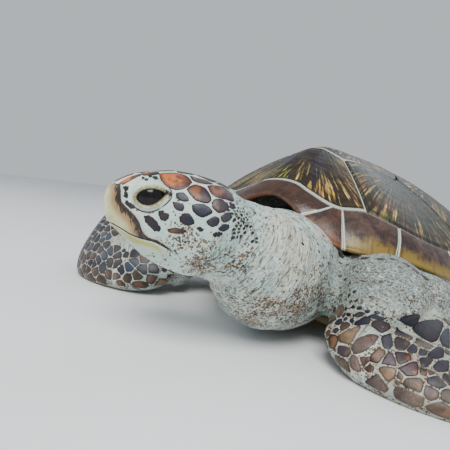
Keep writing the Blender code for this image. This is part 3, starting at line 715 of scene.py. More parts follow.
# ---- Shell ----
@dataclass
class Carapace:
    """The form of the upper shell in plan and height, shared by everything that meets it."""

    length: float = SHELL_LENGTH
    rest_y: float = REST_Y

    def sized(self, rows: Rows, angle: np.ndarray) -> np.ndarray:
        """A table read at angles and scaled to the shell."""
        return read_table(rows, angle) * self.length

    def plan(self, angle: np.ndarray, radius: np.ndarray) -> np.ndarray:
        """Plan points at angles and radii from the middle of the dome."""
        turn = np.radians(angle)
        return np.stack((radius * np.sin(turn),
                         DOME_CENTRE_Y * self.length - self.rest_y - radius * np.cos(turn)), -1)

    def polar(self, points: np.ndarray) -> tuple[np.ndarray, np.ndarray]:
        """Angles and radii of plan points from the middle of the dome."""
        ahead = DOME_CENTRE_Y * self.length - self.rest_y - points[..., 1]
        return (np.degrees(np.arctan2(points[..., 0], ahead)),
                np.hypot(points[..., 0], ahead))

    def ring_radius(self, angle: np.ndarray) -> np.ndarray:
        """Radius of the seam between the dome's plates and the rim's."""
        return self.sized(RIM_RADIUS, angle) - self.sized(MARGINAL_WIDTH, angle)

    def height(self, points: np.ndarray) -> np.ndarray:
        """Height of the dome over plan points.

        Args:
            points: points in plan.

        Returns:
            A height for each point.
        """
        angle, radius = self.polar(points)
        rho = np.minimum(radius / self.sized(RIM_RADIUS, angle), 1.0)
        lean = np.cos(np.radians(angle))
        end_shape = np.where(lean > 0, DOME_SHAPE[0], DOME_SHAPE[2])
        shape = DOME_SHAPE[1] + (end_shape - DOME_SHAPE[1]) * lean * lean
        rise = (1 - rho**shape) ** DOME_POWER
        rim = self.sized(RIM_HEIGHT, angle)
        height = rim + (DOME_TOP * self.length - rim) * rise
        for along, knob in KEEL:
            away = points[..., 0] ** 2 + (points[..., 1] + self.rest_y - along * self.length) ** 2
            height = height + knob * np.exp(-away / KEEL_SPREAD**2)
        return height

    def underside(self, angle: np.ndarray) -> np.ndarray:
        """Height of the rim's inner lower edge, where the skin starts."""
        rim = self.sized(RIM_HEIGHT, angle)
        inner = self.height(self.plan(angle, self.ring_radius(angle)))
        return rim + 0.30 * (inner - rim)


@dataclass
class Dome:
    """The vertebral and costal plates, each a thick scute with a rounded border."""

    form: Carapace
    seam_step: float = 0.005
    border: tuple[float, ...] = (0.0075, 0.0048, 0.0030, 0.0018, 0.0009, 0.0003, 0.0)
    inner_rings: int = 20
    crown: float = 0.0012
    groove: float = 0.0013
    groove_width: float = 0.0034
    wave: float = 0.00022
    grain: float = 0.0062
    bed_depths: tuple[float, float] = (0.0030, 0.0052)

    def corner(self, index: int, side: int) -> np.ndarray:
        """A junction of the vertebral row in plan."""
        x, y = CORNERS[index]
        return np.array((x * side, y)) * self.form.length - np.array((0.0, self.form.rest_y))

    def arc(self, start: float, end: float) -> list[np.ndarray]:
        """Plan points of the ring seam between two angles."""
        count = max(4, int(abs(end - start) / 1.25))
        angles = np.linspace(start, end, count)
        return list(self.form.plan(angles, self.form.ring_radius(angles)))

    def outlines(self) -> dict[str, tuple[list[np.ndarray], np.ndarray, float]]:
        """Outline corners of each plate, the place its rays start from, and their strength.

        Returns:
            The three for each plate's name.
        """
        s1, s2, s3, s4, s5 = COSTAL_SEAMS
        left = [self.corner(i, 1) for i in range(7)]
        right = [self.corner(i, -1) for i in range(7)]
        out = {"vertebral_1": (self.arc(-s1, s1) + [left[0], right[0]], np.array((0.0, -0.262)), 1.0)}
        for number, y in ((2, -0.085), (3, 0.085), (4, 0.245)):
            i = 2 * (number - 2)
            out[f"vertebral_{number}"] = ([left[i], left[i + 1], left[i + 2], right[i + 2],
                                           right[i + 1], right[i]], np.array((0.0, y)), 0.75)
        back = self.arc(s5, 180) + self.arc(-180, -s5)[1:]
        out["vertebral_5"] = ([left[6]] + back + [right[6]], np.array((0.0, 0.345)), 0.75)
        for side, label, row in ((1, "left", left), (-1, "right", right)):
            for number, points, mid in (
                    (1, [row[0]] + self.arc(side * s1, side * s2) + [row[1]], (0.125, -0.165)),
                    (2, [row[1]] + self.arc(side * s2, side * s3) + [row[3], row[2]], (0.150, -0.035)),
                    (3, [row[3]] + self.arc(side * s3, side * s4) + [row[5], row[4]], (0.140, 0.125)),
                    (4, [row[5]] + self.arc(side * s4, side * s5) + [row[6]], (0.110, 0.255))):
                out[f"costal_{label}_{number}"] = (points, np.array((mid[0] * side, mid[1])), 0.85)
        return out

    def fine_loop(self, corners: list[np.ndarray]) -> np.ndarray:
        """The outline cut into short steps and drawn in by half a seam.

        Args:
            corners: corners of the outline in plan.

        Returns:
            The points of the loop, anticlockwise.
        """
        loop = []
        for a, b in zip(corners, corners[1:] + corners[:1]):
            steps = max(1, int(np.linalg.norm(b - a) / self.seam_step))
            loop += [a + (b - a) * k / steps for k in range(steps)]
        p = np.array(loop)
        area = 0.5 * np.sum(p[:, 0] * np.roll(p[:, 1], -1) - np.roll(p[:, 0], -1) * p[:, 1])
        if area < 0:
            p = p[::-1]
        ahead = unit(np.roll(p, -1, axis=0) - p)
        normal = np.stack((-ahead[:, 1], ahead[:, 0]), 1)
        both = unit(normal + np.roll(normal, 1, axis=0))
        mitre = 1 / np.clip(np.sum(both * normal, 1), 0.6, 1.0)
        return p + both * (mitre * PLATE_SEAM / 2)[:, None]

    def build_plate(self, name: str, corners: list[np.ndarray], start: np.ndarray, glow: float,
                    finish: bpy.types.Material) -> bpy.types.Object:
        """One scute: rings from the place its growth started to its border, then its wall.

        Args:
            name: name of the CAD node that the plate stands for.
            corners: its outline in plan.
            start: where its growth started.
            glow: how strong its pale rays are.
            finish: its material.

        Returns:
            The plate.
        """
        loop = self.fine_loop(corners)
        count = len(loop)
        spoke = loop - start
        reach = np.linalg.norm(spoke, axis=1)
        ways = spoke / reach[:, None]
        first = reach - self.border[0]
        radii = [first * k / self.inner_rings for k in range(1, self.inner_rings + 1)]
        radii += [reach - inset for inset in self.border[1:]]
        edge = [np.linalg.norm(loop[j] - loop[j - 1]) for j in range(count)]
        lap = np.cumsum(edge)
        lap = lap / lap[-1]
        turns = np.sum(edge) / self.grain / (2 * math.pi)
        around = np.stack((np.cos(2 * np.pi * lap), np.sin(2 * np.pi * lap)), 1) * turns
        points, growth, seam, ray = [], [], [], []
        for radius in radii:
            plan = start + ways * radius[:, None]
            t = radius / reach
            inset = reach - radius
            sink = self.groove * (1 - np.clip(inset / self.groove_width, 0, 1)) ** 2
            swell = self.crown * (1 - t**3) - sink
            wave = self.wave * np.sin(t * 40.0) * smooth_step(0.1, 0.3, t)
            points.append(np.column_stack((plan, self.form.height(plan) + swell + wave)))
            growth.append(t)
            seam.append(path_distance(plan, np.vstack((loop, loop[:1])))[0])
            ray.append(np.column_stack((around, t * 9.0)))
        points.append(points[-1] - (0, 0, PLATE_DEPTH))
        growth.append(np.ones(count))
        seam.append(np.zeros(count))
        ray.append(ray[-1])
        faces = ring_faces(len(points), count, caps=False)
        top = np.append(start, self.form.height(start[None])[0] + self.crown)
        low = np.append(start, self.form.height(start[None])[0] - PLATE_DEPTH - 0.004)
        body = np.vstack(points + [top[None], low[None]])
        last = len(body) - 1
        faces += fan(0, count, last - 1) + fan((len(points) - 1) * count, count, last, turned=True)
        plate = new_piece(f"{name}_scute", body, faces, finish)
        paint(plate, "growth", np.concatenate(growth + [np.zeros(1), np.ones(1)]))
        paint(plate, "seam", np.concatenate(seam + [np.full(1, 0.2), np.zeros(1)]))
        paint(plate, "glow", np.full(len(body), glow))
        centre = np.array([[0.0, 0.0, 0.0]])
        paint(plate, "ray", np.vstack(ray + [centre, centre]))
        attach(plate, "root")
        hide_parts(name)
        return plate

    def build_bed(self, finish: bpy.types.Material) -> bpy.types.Object:
        """The dark sheet under the plates, which closes their seams and shows in them as painted shade.

        Args:
            finish: its material.

        Returns:
            The sheet.
        """
        angles = np.linspace(-180, 180, 145)[:-1]
        rings = 26
        outer = self.form.ring_radius(angles) + 0.010
        rows = []
        for drop in self.bed_depths:
            sheet = []
            for k in range(1, rings + 1):
                plan = self.form.plan(angles, outer * k / rings)
                sheet.append(np.column_stack((plan, self.form.height(plan) - drop)))
            rows.append(sheet[::-1] if rows else sheet)
        centre = self.form.plan(np.zeros(1), np.zeros(1))
        peak = self.form.height(centre)
        points = np.vstack(rows[0] + rows[1] + [np.column_stack((centre, peak - drop))
                                                for drop in self.bed_depths])
        count = len(angles)
        faces = ring_faces(2 * rings, count, caps=False)
        last = len(points) - 1
        faces += fan(0, count, last - 1, turned=True) + fan((2 * rings - 1) * count, count, last)
        bed = new_piece("shell_bed", points, faces, finish)
        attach(bed, "root")
        return bed

    def build(self) -> list[bpy.types.Object]:
        """Build every plate of the dome and the bed under them.

        Returns:
            The plates and the bed.
        """
        row = DomeFinish("vertebral_horn").build()
        side = DomeFinish("costal_horn", ground=(0.016, 0.017, 0.010), border=(0.03, 0.03, 0.025),
                          ray=(0.300, 0.230, 0.080), border_amount=0.5).build()
        pieces = [self.build_bed(BedFinish().build())]
        for name, (corners, start, glow) in self.outlines().items():
            finish = row if name.startswith("vertebral") else side
            pieces.append(self.build_plate(name, corners, start, glow, finish))
        LOG.info("dome: %d pieces", len(pieces))
        return pieces


class RimTone(Enum):
    """The colours that the plates of the rim come in: ground, warm patches and lower band."""

    CHESTNUT = ((0.030, 0.014, 0.010), (0.062, 0.027, 0.017), (0.110, 0.044, 0.018), 0.82)
    BROWN = ((0.028, 0.015, 0.012), (0.082, 0.036, 0.021), (0.200, 0.068, 0.024), 0.70)
    PURPLE = ((0.028, 0.017, 0.017), (0.090, 0.052, 0.038), (0.215, 0.145, 0.024), 0.56)
    OLIVE = ((0.026, 0.020, 0.013), (0.080, 0.054, 0.026), (0.250, 0.170, 0.040), 0.58)


@dataclass
class Rim:
    """The nuchal and the marginals round the edge of the shell."""

    form: Carapace
    edge: float = 0.0045
    round_off: float = 0.0035
    arch: float = 0.002
    keel: float = 0.006
    knee: float = 0.55
    scallop: float = 0.010
    sunk: float = 0.0011
    bead: float = 0.0009
    end_border: float = 0.0075
    step: float = 0.0045

    def sections(self, ring: np.ndarray, rim: np.ndarray, swell: np.ndarray,
                 lower: np.ndarray) -> np.ndarray:
        """Smooth cross-sections from the inner top, round the edge, to the inner low.

        Args:
            ring: angles at the dome.
            rim: angles at the edge.
            swell: 0 at a plate's ends to 1 in its middle.
            lower: how far each section's top is let down.

        Returns:
            An array of sections of points.
        """
        form = self.form
        inner = form.ring_radius(ring) + PLATE_SEAM / 2
        outer = form.sized(RIM_RADIUS, rim) * (1 + self.scallop * swell)
        height = form.sized(RIM_HEIGHT, rim)
        top = form.height(form.plan(ring, form.ring_radius(ring)))
        low = form.underside(ring)
        middle = inner + self.knee * (outer - inner)
        between = (ring + rim) / 2
        rows = ((ring, inner, top - self.sunk - lower),
                (ring + (between - ring) * 0.1, inner + 0.0028, top - self.sunk + self.bead - lower),
                (between, middle, (top + height) / 2 + self.arch + 0.0008 * swell - lower),
                (rim, outer - self.round_off, height + self.edge - lower),
                (rim, outer, height),
                (rim, outer - self.round_off, height - self.edge),
                (between, middle, (low + height) / 2 - self.keel),
                (ring, inner, low - self.arch))
        stack = np.stack([np.column_stack((form.plan(a, r), z)) for a, r, z in rows], 1)
        return np.stack([catmull(section, (1, 6, 6, 3, 3, 4, 4)) for section in stack])

    def build_plate(self, name: str, start: tuple[float, float], end: tuple[float, float],
                    finish: bpy.types.Material) -> bpy.types.Object:
        """One plate of the rim between two seams.

        Args:
            name: name of the CAD node that the plate stands for.
            start: its first seam's angles at the dome and at the edge.
            end: its last seam's angles.
            finish: its material.

        Returns:
            The plate.
        """
        form = self.form
        radius = float(form.sized(RIM_RADIUS, (start[1] + end[1]) / 2))
        gap = math.degrees(PLATE_SEAM / 2 / radius)
        span = math.radians(abs(end[1] - start[1])) * radius
        insets = np.array((0.0, 0.0004, 0.0011, 0.0022, 0.0040)) / span
        start_at = self.end_border / span
        inner = np.linspace(start_at, 1 - start_at, max(8, int(span / self.step)))
        t = np.concatenate((insets, inner, 1 - insets[::-1]))
        ring = start[0] + gap + (end[0] - start[0] - 2 * gap) * t
        rim = start[1] + gap + (end[1] - start[1] - 2 * gap) * t
        inset = np.minimum(t, 1 - t) * span
        lower = 0.0012 * (1 - np.clip(inset / 0.003, 0, 1)) ** 2
        rows = self.sections(ring, rim, np.sin(np.pi * t), lower)
        rings, count = rows.shape[:2]
        points = rows.reshape(-1, 3)
        plate = new_piece(f"{name}_scute", points, ring_faces(rings, count), finish)
        tip = 16
        legs = np.linalg.norm(np.diff(rows[:, :tip + 1], axis=1), axis=2)
        gone = np.concatenate((np.zeros((rings, 1)), np.cumsum(legs, 1)), 1)
        across = np.concatenate((gone / gone[:, -1:],
                                 np.linspace(1.05, 1.8, count - tip - 1)[None].repeat(rings, 0)), 1)
        along = lengths(rows[:, 8])
        side = np.minimum(along, along[-1] - along)[:, None].repeat(count, 1)
        down = np.concatenate((gone, np.full((rings, count - tip - 1), 0.05)), 1)
        paint(plate, "growth", across.ravel())
        paint(plate, "seam", np.minimum(side, down * 1.25).ravel())
        shift = (abs(hash_of(name)) % 97) * 1.7
        ray = np.stack((along[:, None].repeat(count, 1) / 0.0042, np.full_like(across, shift),
                        across * 5.0), -1)
        paint(plate, "ray", ray.reshape(-1, 3))
        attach(plate, "root")
        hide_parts(name)
        return plate

    def build(self) -> list[bpy.types.Object]:
        """Build the nuchal and all the marginals.

        Returns:
            The plates.
        """
        finishes = {tone: RimFinish(f"rim_{tone.name.lower()}", *tone.value[:3],
                                    band_start=tone.value[3]).build() for tone in RimTone}
        first = MARGINAL_SEAMS[0]
        pieces = [self.build_plate("nuchal", (-first[0], -first[1]), first,
                                   finishes[RimTone.CHESTNUT])]
        tones = [RimTone.BROWN, RimTone.PURPLE, RimTone.PURPLE, RimTone.BROWN] + [RimTone.OLIVE] * 8
        for number, (start, end) in enumerate(zip(MARGINAL_SEAMS[:-1], MARGINAL_SEAMS[1:]), 1):
            for side, label in ((1, "left"), (-1, "right")):
                low, high = sorted(((side * start[0], side * start[1]),
                                    (side * end[0], side * end[1])))
                pieces.append(self.build_plate(f"marginal_{label}_{number}", low, high,
                                               finishes[tones[number - 1]]))
        LOG.info("rim: %d plates", len(pieces))
        return pieces


def hash_of(name: str) -> int:
    """A fixed number for a name, the same in every run.

    Args:
        name: the name.

    Returns:
        The number.
    """
    total = 7
    for letter in name:
        total = (total * 31 + ord(letter)) % 1000003
    return total


# ---- Flesh: the smooth forms under the skin ----
# Head stations: x, top z, underside z, half width, height of the widest point.
HEAD_STATIONS = (
    (0.0865, 0.003, -0.005, 0.004, -0.001), (0.0843, 0.0155, -0.013, 0.013, 0.001),
    (0.0775, 0.0257, -0.024, 0.021, 0.001), (0.0672, 0.0322, -0.035, 0.029, -0.002),
    (0.0538, 0.0370, -0.049, 0.037, -0.006), (0.0400, 0.0392, -0.062, 0.042, -0.010),
    (0.0250, 0.0405, -0.072, 0.046, -0.015), (0.0080, 0.0412, -0.080, 0.050, -0.020),
    (-0.0100, 0.0390, -0.086, 0.054, -0.024), (-0.0290, 0.0342, -0.087, 0.056, -0.026),
    (-0.0480, 0.0272, -0.082, 0.056, -0.025), (-0.0660, 0.0175, -0.070, 0.051, -0.022),
    (-0.0810, 0.0070, -0.050, 0.039, -0.018), (-0.0900, -0.0020, -0.030, 0.018, -0.014),
)
# Limb stations: centre x, y, z, half width, half height; the y here counts from the nuchal.
NECK_STATIONS = (
    (0.000, 0.150, 0.104, 0.104, 0.068), (0.010, 0.085, 0.102, 0.120, 0.080),
    (0.030, 0.020, 0.104, 0.112, 0.086), (0.048, -0.040, 0.107, 0.096, 0.088),
    (0.060, -0.092, 0.121, 0.080, 0.086), (0.060, -0.132, 0.136, 0.066, 0.074),
    (0.044, -0.165, 0.149, 0.050, 0.056), (0.026, -0.184, 0.156, 0.030, 0.034),
)
ARM_STATIONS = (
    (0.085, 0.170, 0.096, 0.056, 0.048), (0.125, 0.122, 0.098, 0.068, 0.055),
    (0.165, 0.076, 0.095, 0.074, 0.060), (0.196, 0.030, 0.085, 0.070, 0.060),
    (0.206, -0.012, 0.067, 0.056, 0.053), (0.202, -0.040, 0.050, 0.036, 0.038),
)
# Flipper stations: leading edge x, y, z, trailing edge x, y, z, thickness.
LEFT_FLIPPER = (
    (0.165, -0.030, 0.020, 0.180, 0.012, 0.070, 0.050),
    (0.176, -0.052, 0.010, 0.196, -0.002, 0.084, 0.062),
    (0.203, -0.071, 0.003, 0.216, -0.008, 0.089, 0.058),
    (0.238, -0.081, 0.001, 0.240, 0.000, 0.089, 0.049),
    (0.278, -0.083, 0.000, 0.268, 0.016, 0.087, 0.041),
    (0.322, -0.075, 0.000, 0.300, 0.036, 0.079, 0.034),
    (0.369, -0.054, 0.000, 0.338, 0.064, 0.067, 0.028),
    (0.415, -0.018, 0.001, 0.382, 0.098, 0.053, 0.023),
    (0.455, 0.032, 0.002, 0.428, 0.138, 0.039, 0.018),
    (0.485, 0.090, 0.004, 0.462, 0.172, 0.027, 0.014),
    (0.503, 0.150, 0.006, 0.488, 0.200, 0.018, 0.010),
    (0.509, 0.196, 0.008, 0.504, 0.214, 0.012, 0.006),
)
RIGHT_FLIPPER = (
    (0.165, -0.030, 0.020, 0.180, 0.008, 0.080, 0.050),
    (0.178, -0.056, 0.010, 0.198, -0.014, 0.100, 0.062),
    (0.207, -0.078, 0.003, 0.222, -0.034, 0.114, 0.058),
    (0.245, -0.092, 0.001, 0.256, -0.046, 0.121, 0.050),
    (0.288, -0.096, 0.000, 0.296, -0.052, 0.124, 0.042),
    (0.330, -0.088, 0.000, 0.334, -0.044, 0.122, 0.035),
    (0.366, -0.062, 0.000, 0.368, -0.016, 0.113, 0.029),
    (0.394, -0.020, 0.001, 0.396, 0.028, 0.098, 0.024),
    (0.413, 0.034, 0.002, 0.415, 0.080, 0.078, 0.019),
    (0.423, 0.092, 0.004, 0.426, 0.130, 0.056, 0.015),
    (0.425, 0.148, 0.007, 0.428, 0.172, 0.034, 0.010),
    (0.420, 0.192, 0.010, 0.423, 0.202, 0.018, 0.006),
)
HIND_FLIPPER = (
    (0.150, 0.560, 0.030, 0.090, 0.600, 0.060, 0.056),
    (0.172, 0.620, 0.020, 0.100, 0.655, 0.048, 0.050),
    (0.192, 0.680, 0.010, 0.112, 0.710, 0.036, 0.040),
    (0.212, 0.735, 0.005, 0.122, 0.765, 0.026, 0.031),
    (0.232, 0.790, 0.003, 0.136, 0.822, 0.018, 0.023),
    (0.246, 0.842, 0.003, 0.156, 0.872, 0.012, 0.016),
    (0.244, 0.888, 0.003, 0.184, 0.904, 0.008, 0.011),
    (0.228, 0.914, 0.004, 0.206, 0.917, 0.006, 0.007),
)
TAIL_STATIONS = (
    (0.0, 0.640, 0.050, 0.044, 0.030), (0.0, 0.700, 0.042, 0.034, 0.026),
    (0.0, 0.760, 0.032, 0.024, 0.020), (0.0, 0.810, 0.022, 0.016, 0.015),
    (0.0, 0.850, 0.014, 0.009, 0.010), (0.0, 0.872, 0.010, 0.003, 0.004),
)
EYE_RADIUS = 0.0190
EYE_CENTRE = (0.0315, 0.0285, 0.0095)
LID_THICKNESS = 0.0030
LID_OPENING = ((0.0458, 0.0085), (0.0418, 0.0142), (0.0340, 0.0172), (0.0250, 0.0169),
               (0.0160, 0.0122), (0.0240, 0.0042), (0.0330, 0.0004), (0.0418, 0.0028))


@dataclass
class HeadFrame:
    """The head's own frame: x forward, y to the left, z up."""

    centre: tuple[float, float, float] = (0.0037, -0.2072 - REST_Y, 0.1803)
    turn: float = math.radians(-45.0)
    dip: float = math.radians(-8.4)
    lean: float = math.radians(3.4)

    def matrix(self) -> np.ndarray:
        """The frame's place in the model.

        Returns:
            A 4 by 4 matrix.
        """
        forward = Matrix.Rotation(self.turn - math.pi / 2, 4, "Z")
        dip = Matrix.Rotation(-self.dip, 4, "Y")
        lean = Matrix.Rotation(self.lean, 4, "X")
        return np.array(Matrix.Translation(self.centre) @ forward @ dip @ lean)

    def out(self, local: np.ndarray) -> np.ndarray:
        """Points of the head's frame, in the model's frame."""
        m = self.matrix()
        return np.asarray(local, float) @ m[:3, :3].T + m[:3, 3]

    def into(self, points: np.ndarray) -> np.ndarray:
        """Points of the model's frame, in the head's frame."""
        m = self.matrix()
        return (np.asarray(points, float) - m[:3, 3]) @ m[:3, :3]


@dataclass
class Forms:
    """Fine lofts of every fleshy part, from the same stations as the frame's solids."""

    shell: Carapace
    head: HeadFrame

    def head_rings(self, swell: float = 0.0, steps: int = 6, count: int = 96) -> np.ndarray:
        """Sections of the head in its own frame, drawn out by swell.

        Args:
            swell: how far the form is drawn out, in metres.
            steps: sections between two stations.
            count: points in a ring.

        Returns:
            An array of rings of points.
        """
        rows = catmull(np.array(HEAD_STATIONS), steps)
        turn = full_turn(count)
        c, s = np.cos(turn), np.sin(turn)
        rings = []
        for x, top, low, half, widest in rows:
            power = np.where(s > 0, 2 / 2.35, 2 / 2.0)
            y = (half + swell) * np.sign(c) * np.abs(c) ** power
            rise = np.where(s > 0, top - widest + swell, widest - low + swell)
            z = widest + rise * np.sign(s) * np.abs(s) ** power
            rings.append(np.column_stack((np.full(count, x), y, z)))
        rings = np.array(rings)
        if swell:
            rings[..., 0] += swell * smooth_step(0.068, 0.0865, rings[..., 0])
        return rings

    def spine(self, stations: Rows, side: int, count: int, steps: int) -> np.ndarray:
        """Elliptical sections along a spine."""
        rows = catmull(from_nuchal(stations, side), steps)
        return tube(rows[:, :3], rows[:, 3:4], rows[:, 4:5], count)

    def blade(self, stations: Rows, side: int, count: int, steps: int) -> np.ndarray:
        """Streamlined sections from a leading edge to a trailing edge.

        Args:
            stations: the flipper's stations.
            side: 1 for the left, -1 for the right.
            count: points in a ring.
            steps: sections between two stations.

        Returns:
            An array of rings of points.
        """
        rows = catmull(from_nuchal(stations, side, (0, 3)), steps)
        lead, trail = rows[:, :3], rows[:, 3:6]
        along = np.gradient((lead + trail) / 2, axis=0)
        chord = trail - lead
        face = unit(np.cross(chord, along))
        turn = full_turn(count)
        c = (1 - np.cos(turn)) / 2
        swell = 2.9690 * np.sqrt(c) - 1.26 * c - 3.516 * c**2 + 2.843 * c**3 - 1.015 * c**4
        half = 0.5 * rows[:, 6:7] * np.maximum(swell, 0) + np.where(c > 1e-9, 0.0016, 0.0)
        half = np.where(turn < np.pi, half, -half)
        return lead[:, None] + chord[:, None] * c[None, :, None] + face[:, None] * half[..., None]

    def trunk(self) -> np.ndarray:
        """Rings of the body between the shells, from the hidden top down to the belly.

        Returns:
            An array of rings of points.
        """
        angles = np.linspace(-180, 180, 145)[:-1]
        outer = self.shell.ring_radius(angles) - 0.0012
        belly = self.shell.sized(PLASTRON_RADIUS, angles) - 0.004
        top = self.shell.underside(angles)
        rows = [(outer * 0.5, top * 0 + 0.17), (outer * 0.92, top + 0.014), (outer, top + 0.010),
                (outer, top)]
        for inward, down in ((0.30, 0.18), (0.50, 0.38), (0.70, 0.58), (0.86, 0.79), (1.0, 1.0)):
            rows.append((outer + (belly - outer) * inward, top + (0.0184 - top) * down))
        rows.append((belly * 0.5, top * 0 + 0.0184))
        return np.stack([np.column_stack((self.shell.plan(angles, radius), height))
                         for radius, height in rows])

    def ball(self, centre: Sequence[float], radii: Sequence[float]) -> np.ndarray:
        """Rings of a rounded filling between two forms.

        Args:
            centre: its centre.
            radii: its half sizes along x, y and z.

        Returns:
            An array of rings of points.
        """
        tilt = np.linspace(0.06, np.pi - 0.06, 18)
        turn = full_turn(32)
        ring = np.stack((np.sin(tilt)[:, None] * np.cos(turn), np.sin(tilt)[:, None] * np.sin(turn),
                         np.cos(tilt)[:, None].repeat(32, 1)), -1)
        return ring * np.array(radii) + np.array(centre)


# ---- Finishes of the soft parts ----
@dataclass(frozen=True)
class SkinFinish:
    """Soft skin: pale mint grey, creased and speckled, olive and cream on the lids, with painted shade in
    its creases, under the front rim, along the mouth and under the lower lids.
    """

    name: str = "soft_skin"

    def build(self) -> bpy.types.Material:
        """Write the material.

        Returns:
            A material that reads the skin's own attributes.
        """
        s = Shade(self.name, 0.5)
        place = s.place()
        fold = s.read("fold", "Vector")
        free = 1 - s.read("headness")
        lid = s.read("lid")
        mesh = s.read("mesh")
        grime = s.read("grime")
        broad = s.noise(place, 11.0, 3.0, 0.55)
        mid = s.noise(place, 60.0, 3.0, 0.6)
        small = s.noise(place, 340.0, 2.0, 0.6)
        crease = s.noise(s.scaled(fold, (400.0, 62.0, 62.0)), 1.0, 3.0, 0.6, 1.1)
        cross = s.noise(s.scaled(fold, (330.0, 420.0, 420.0)), 1.0, 2.0, 0.6, 0.6)
        base = s.mix(s.step(broad, 0.32, 0.68), (0.400, 0.540, 0.490), (0.680, 0.740, 0.680))
        base = s.mix(s.step(s.noise(place, 130.0, 3.0, 0.6), 0.44, 0.66) * (0.15 + free * 0.30), base,
                     (0.300, 0.390, 0.385))
        base = s.mix(s.step(broad + mid * 0.5, 0.74, 0.92) * 0.40, base, (0.540, 0.470, 0.300))
        # Painted shade in the creases: the crease and cross lines darken where their bumps sink.
        base = s.mix(s.step(crease, 0.50, 0.38) * free * 0.85, base, (0.070, 0.080, 0.078))
        base = s.mix(s.step(cross, 0.48, 0.36) * free * 0.45, base, (0.150, 0.150, 0.130))
        net = s.cells(s.scaled(place, (1.0, 1.0, 1.7)), 190.0, "DISTANCE_TO_EDGE")
        base = s.mix(s.read("limb") * 0.60, base, (0.300, 0.290, 0.230))
        base = s.mix(s.read("limb") * s.step(grime + (mid - 0.5) * 1.2, 0.25, 0.85) * 0.6, base,
                     (0.170, 0.125, 0.085))
        base = s.mix(mesh * 0.32, base, (0.210, 0.235, 0.220))
        core = s.step(net + (small - 0.5) * 0.25, 0.06, 0.24) * mesh
        base = s.mix(core * 0.85, base, (0.070, 0.078, 0.085))
        base = s.mix(s.step(net, 0.09, 0.02) * mesh * 0.7, base, (0.480, 0.530, 0.470))
        # Grains: separate specks, gathered where the skin is soiled.
        warm = s.noise(place, 55.0, 3.0, 0.6, 0.4)
        for scale, low, high, tones in ((330.0, 0.88, 0.94, ((0.036, 0.021, 0.015),
                                                             (0.200, 0.100, 0.048))),
                                        (480.0, 0.92, 0.98, ((0.022, 0.016, 0.014),
                                                             (0.160, 0.090, 0.045)))):
            gap = s.cells(place, scale)
            pick = s.cells(place, scale, "F1", "Color")
            speck = s.step(gap, 0.66, 0.48) * s.step(pick + (warm - 0.5) * 1.3 + grime * 0.56,
                                                     low, high)
            tint = s.mix(s.step(s.noise(place, scale * 0.7, 0.0), 0.44, 0.56), *tones)
            base = s.mix(speck * 0.92, base, tint)
        lids = s.mix(s.step(mid + (small - 0.5) * 0.8, 0.38, 0.62), (0.260, 0.245, 0.110),
                     (0.560, 0.560, 0.360))
        rings = s.math("SINE", lid * 5200.0 + (mid - 0.5) * 9.0)
        lids = s.mix(s.step(rings, 0.1, 0.8) * 0.6, lids, (0.110, 0.100, 0.060))
        base = s.mix(s.step(lid, 0.0064, 0.0034), base, lids)
        # Painted shade: a dark band along the fold under the lower lid.
        outer = s.step(lid, 0.0068, 0.0078) * s.step(lid, 0.0096, 0.0084)
        base = s.mix(outer * s.step(mid, 0.30, 0.45), base, (0.020, 0.018, 0.022))
        dark = s.step(lid, 0.0019, 0.0006)
        base = s.mix(dark * 0.9, base, (0.012, 0.010, 0.010))
        base = s.mix(s.read("covered"), base, s.read("under", "Color"))
        # Painted shade: near black under the rim over the neck and along the mouth line.
        base = s.mix(s.read("pocket") * 0.94, base, (0.010, 0.009, 0.009))
        height = crease * free * 1.5 + cross * free * 0.6 + s.step(net, 0.0, 0.14) * (0.2 + mesh) \
            + small * 0.5 + mid * 0.5
        rough = s.step(mid, 0.2, 0.8, 0.48, 0.66) - dark * 0.2
        return s.finish(base, rough, height, 0.0012, 0.9, Specular_IOR_Level=0.32)


# ---- Skin ----
def smooth_verts(points: np.ndarray, edges: np.ndarray, rounds: int, weight: np.ndarray,
                 keep: float = 0.53) -> np.ndarray:
    """Smooth vertices without shrinking them much (one step in, one step out).

    Args:
        points: vertex places.
        edges: vertex pairs.
        rounds: how many times.
        weight: how much each vertex may move, 0 to 1.
        keep: the outward step; 0 leaves it out.

    Returns:
        The new places.
    """
    count = len(points)
    links = np.bincount(edges.ravel(), minlength=count).astype(float)
    links[links == 0] = 1
    p = points.copy()
    for _ in range(rounds):
        for pull in ((0.5, -keep) if keep else (0.5,)):
            mean = np.stack([np.bincount(edges[:, 0], p[edges[:, 1], k], count)
                             + np.bincount(edges[:, 1], p[edges[:, 0], k], count)
                             for k in range(3)], 1) / links[:, None]
            p = p + (mean - p) * (pull * weight)[:, None]
    return p


def edge_pairs(item: bpy.types.Object) -> np.ndarray:
    """Vertex pairs of an object's edges."""
    out = np.zeros(len(item.data.edges) * 2, np.int32)
    item.data.edges.foreach_get("vertices", out)
    return out.reshape(-1, 2)


def form_tree(rings: np.ndarray) -> BVHTree:
    """A search tree over a loft of rings with closed ends.

    Args:
        rings: rings of points.

    Returns:
        The search tree.
    """
    count, size = rings.shape[:2]
    points = np.vstack((rings.reshape(-1, 3), rings[0].mean(0)[None], rings[-1].mean(0)[None]))
    faces = ring_faces(count, size, caps=False)
    last = count * size
    faces += fan(0, size, last) + fan((count - 1) * size, size, last + 1)
    return BVHTree.FromPolygons(points.tolist(), faces)


def pull_to(points: np.ndarray, weight: np.ndarray, tree: BVHTree) -> np.ndarray:
    """Move points towards the nearest place on a form by their weights.

    Args:
        points: the points.
        weight: how far each goes, 0 to 1.
        tree: the form's search tree.

    Returns:
        The new points.
    """
    out = points.copy()
    for i in np.nonzero(weight > 0.001)[0]:
        near = tree.find_nearest(points[i])[0]
        if near is not None:
            out[i] += (np.array(near) - points[i]) * weight[i]
    return out


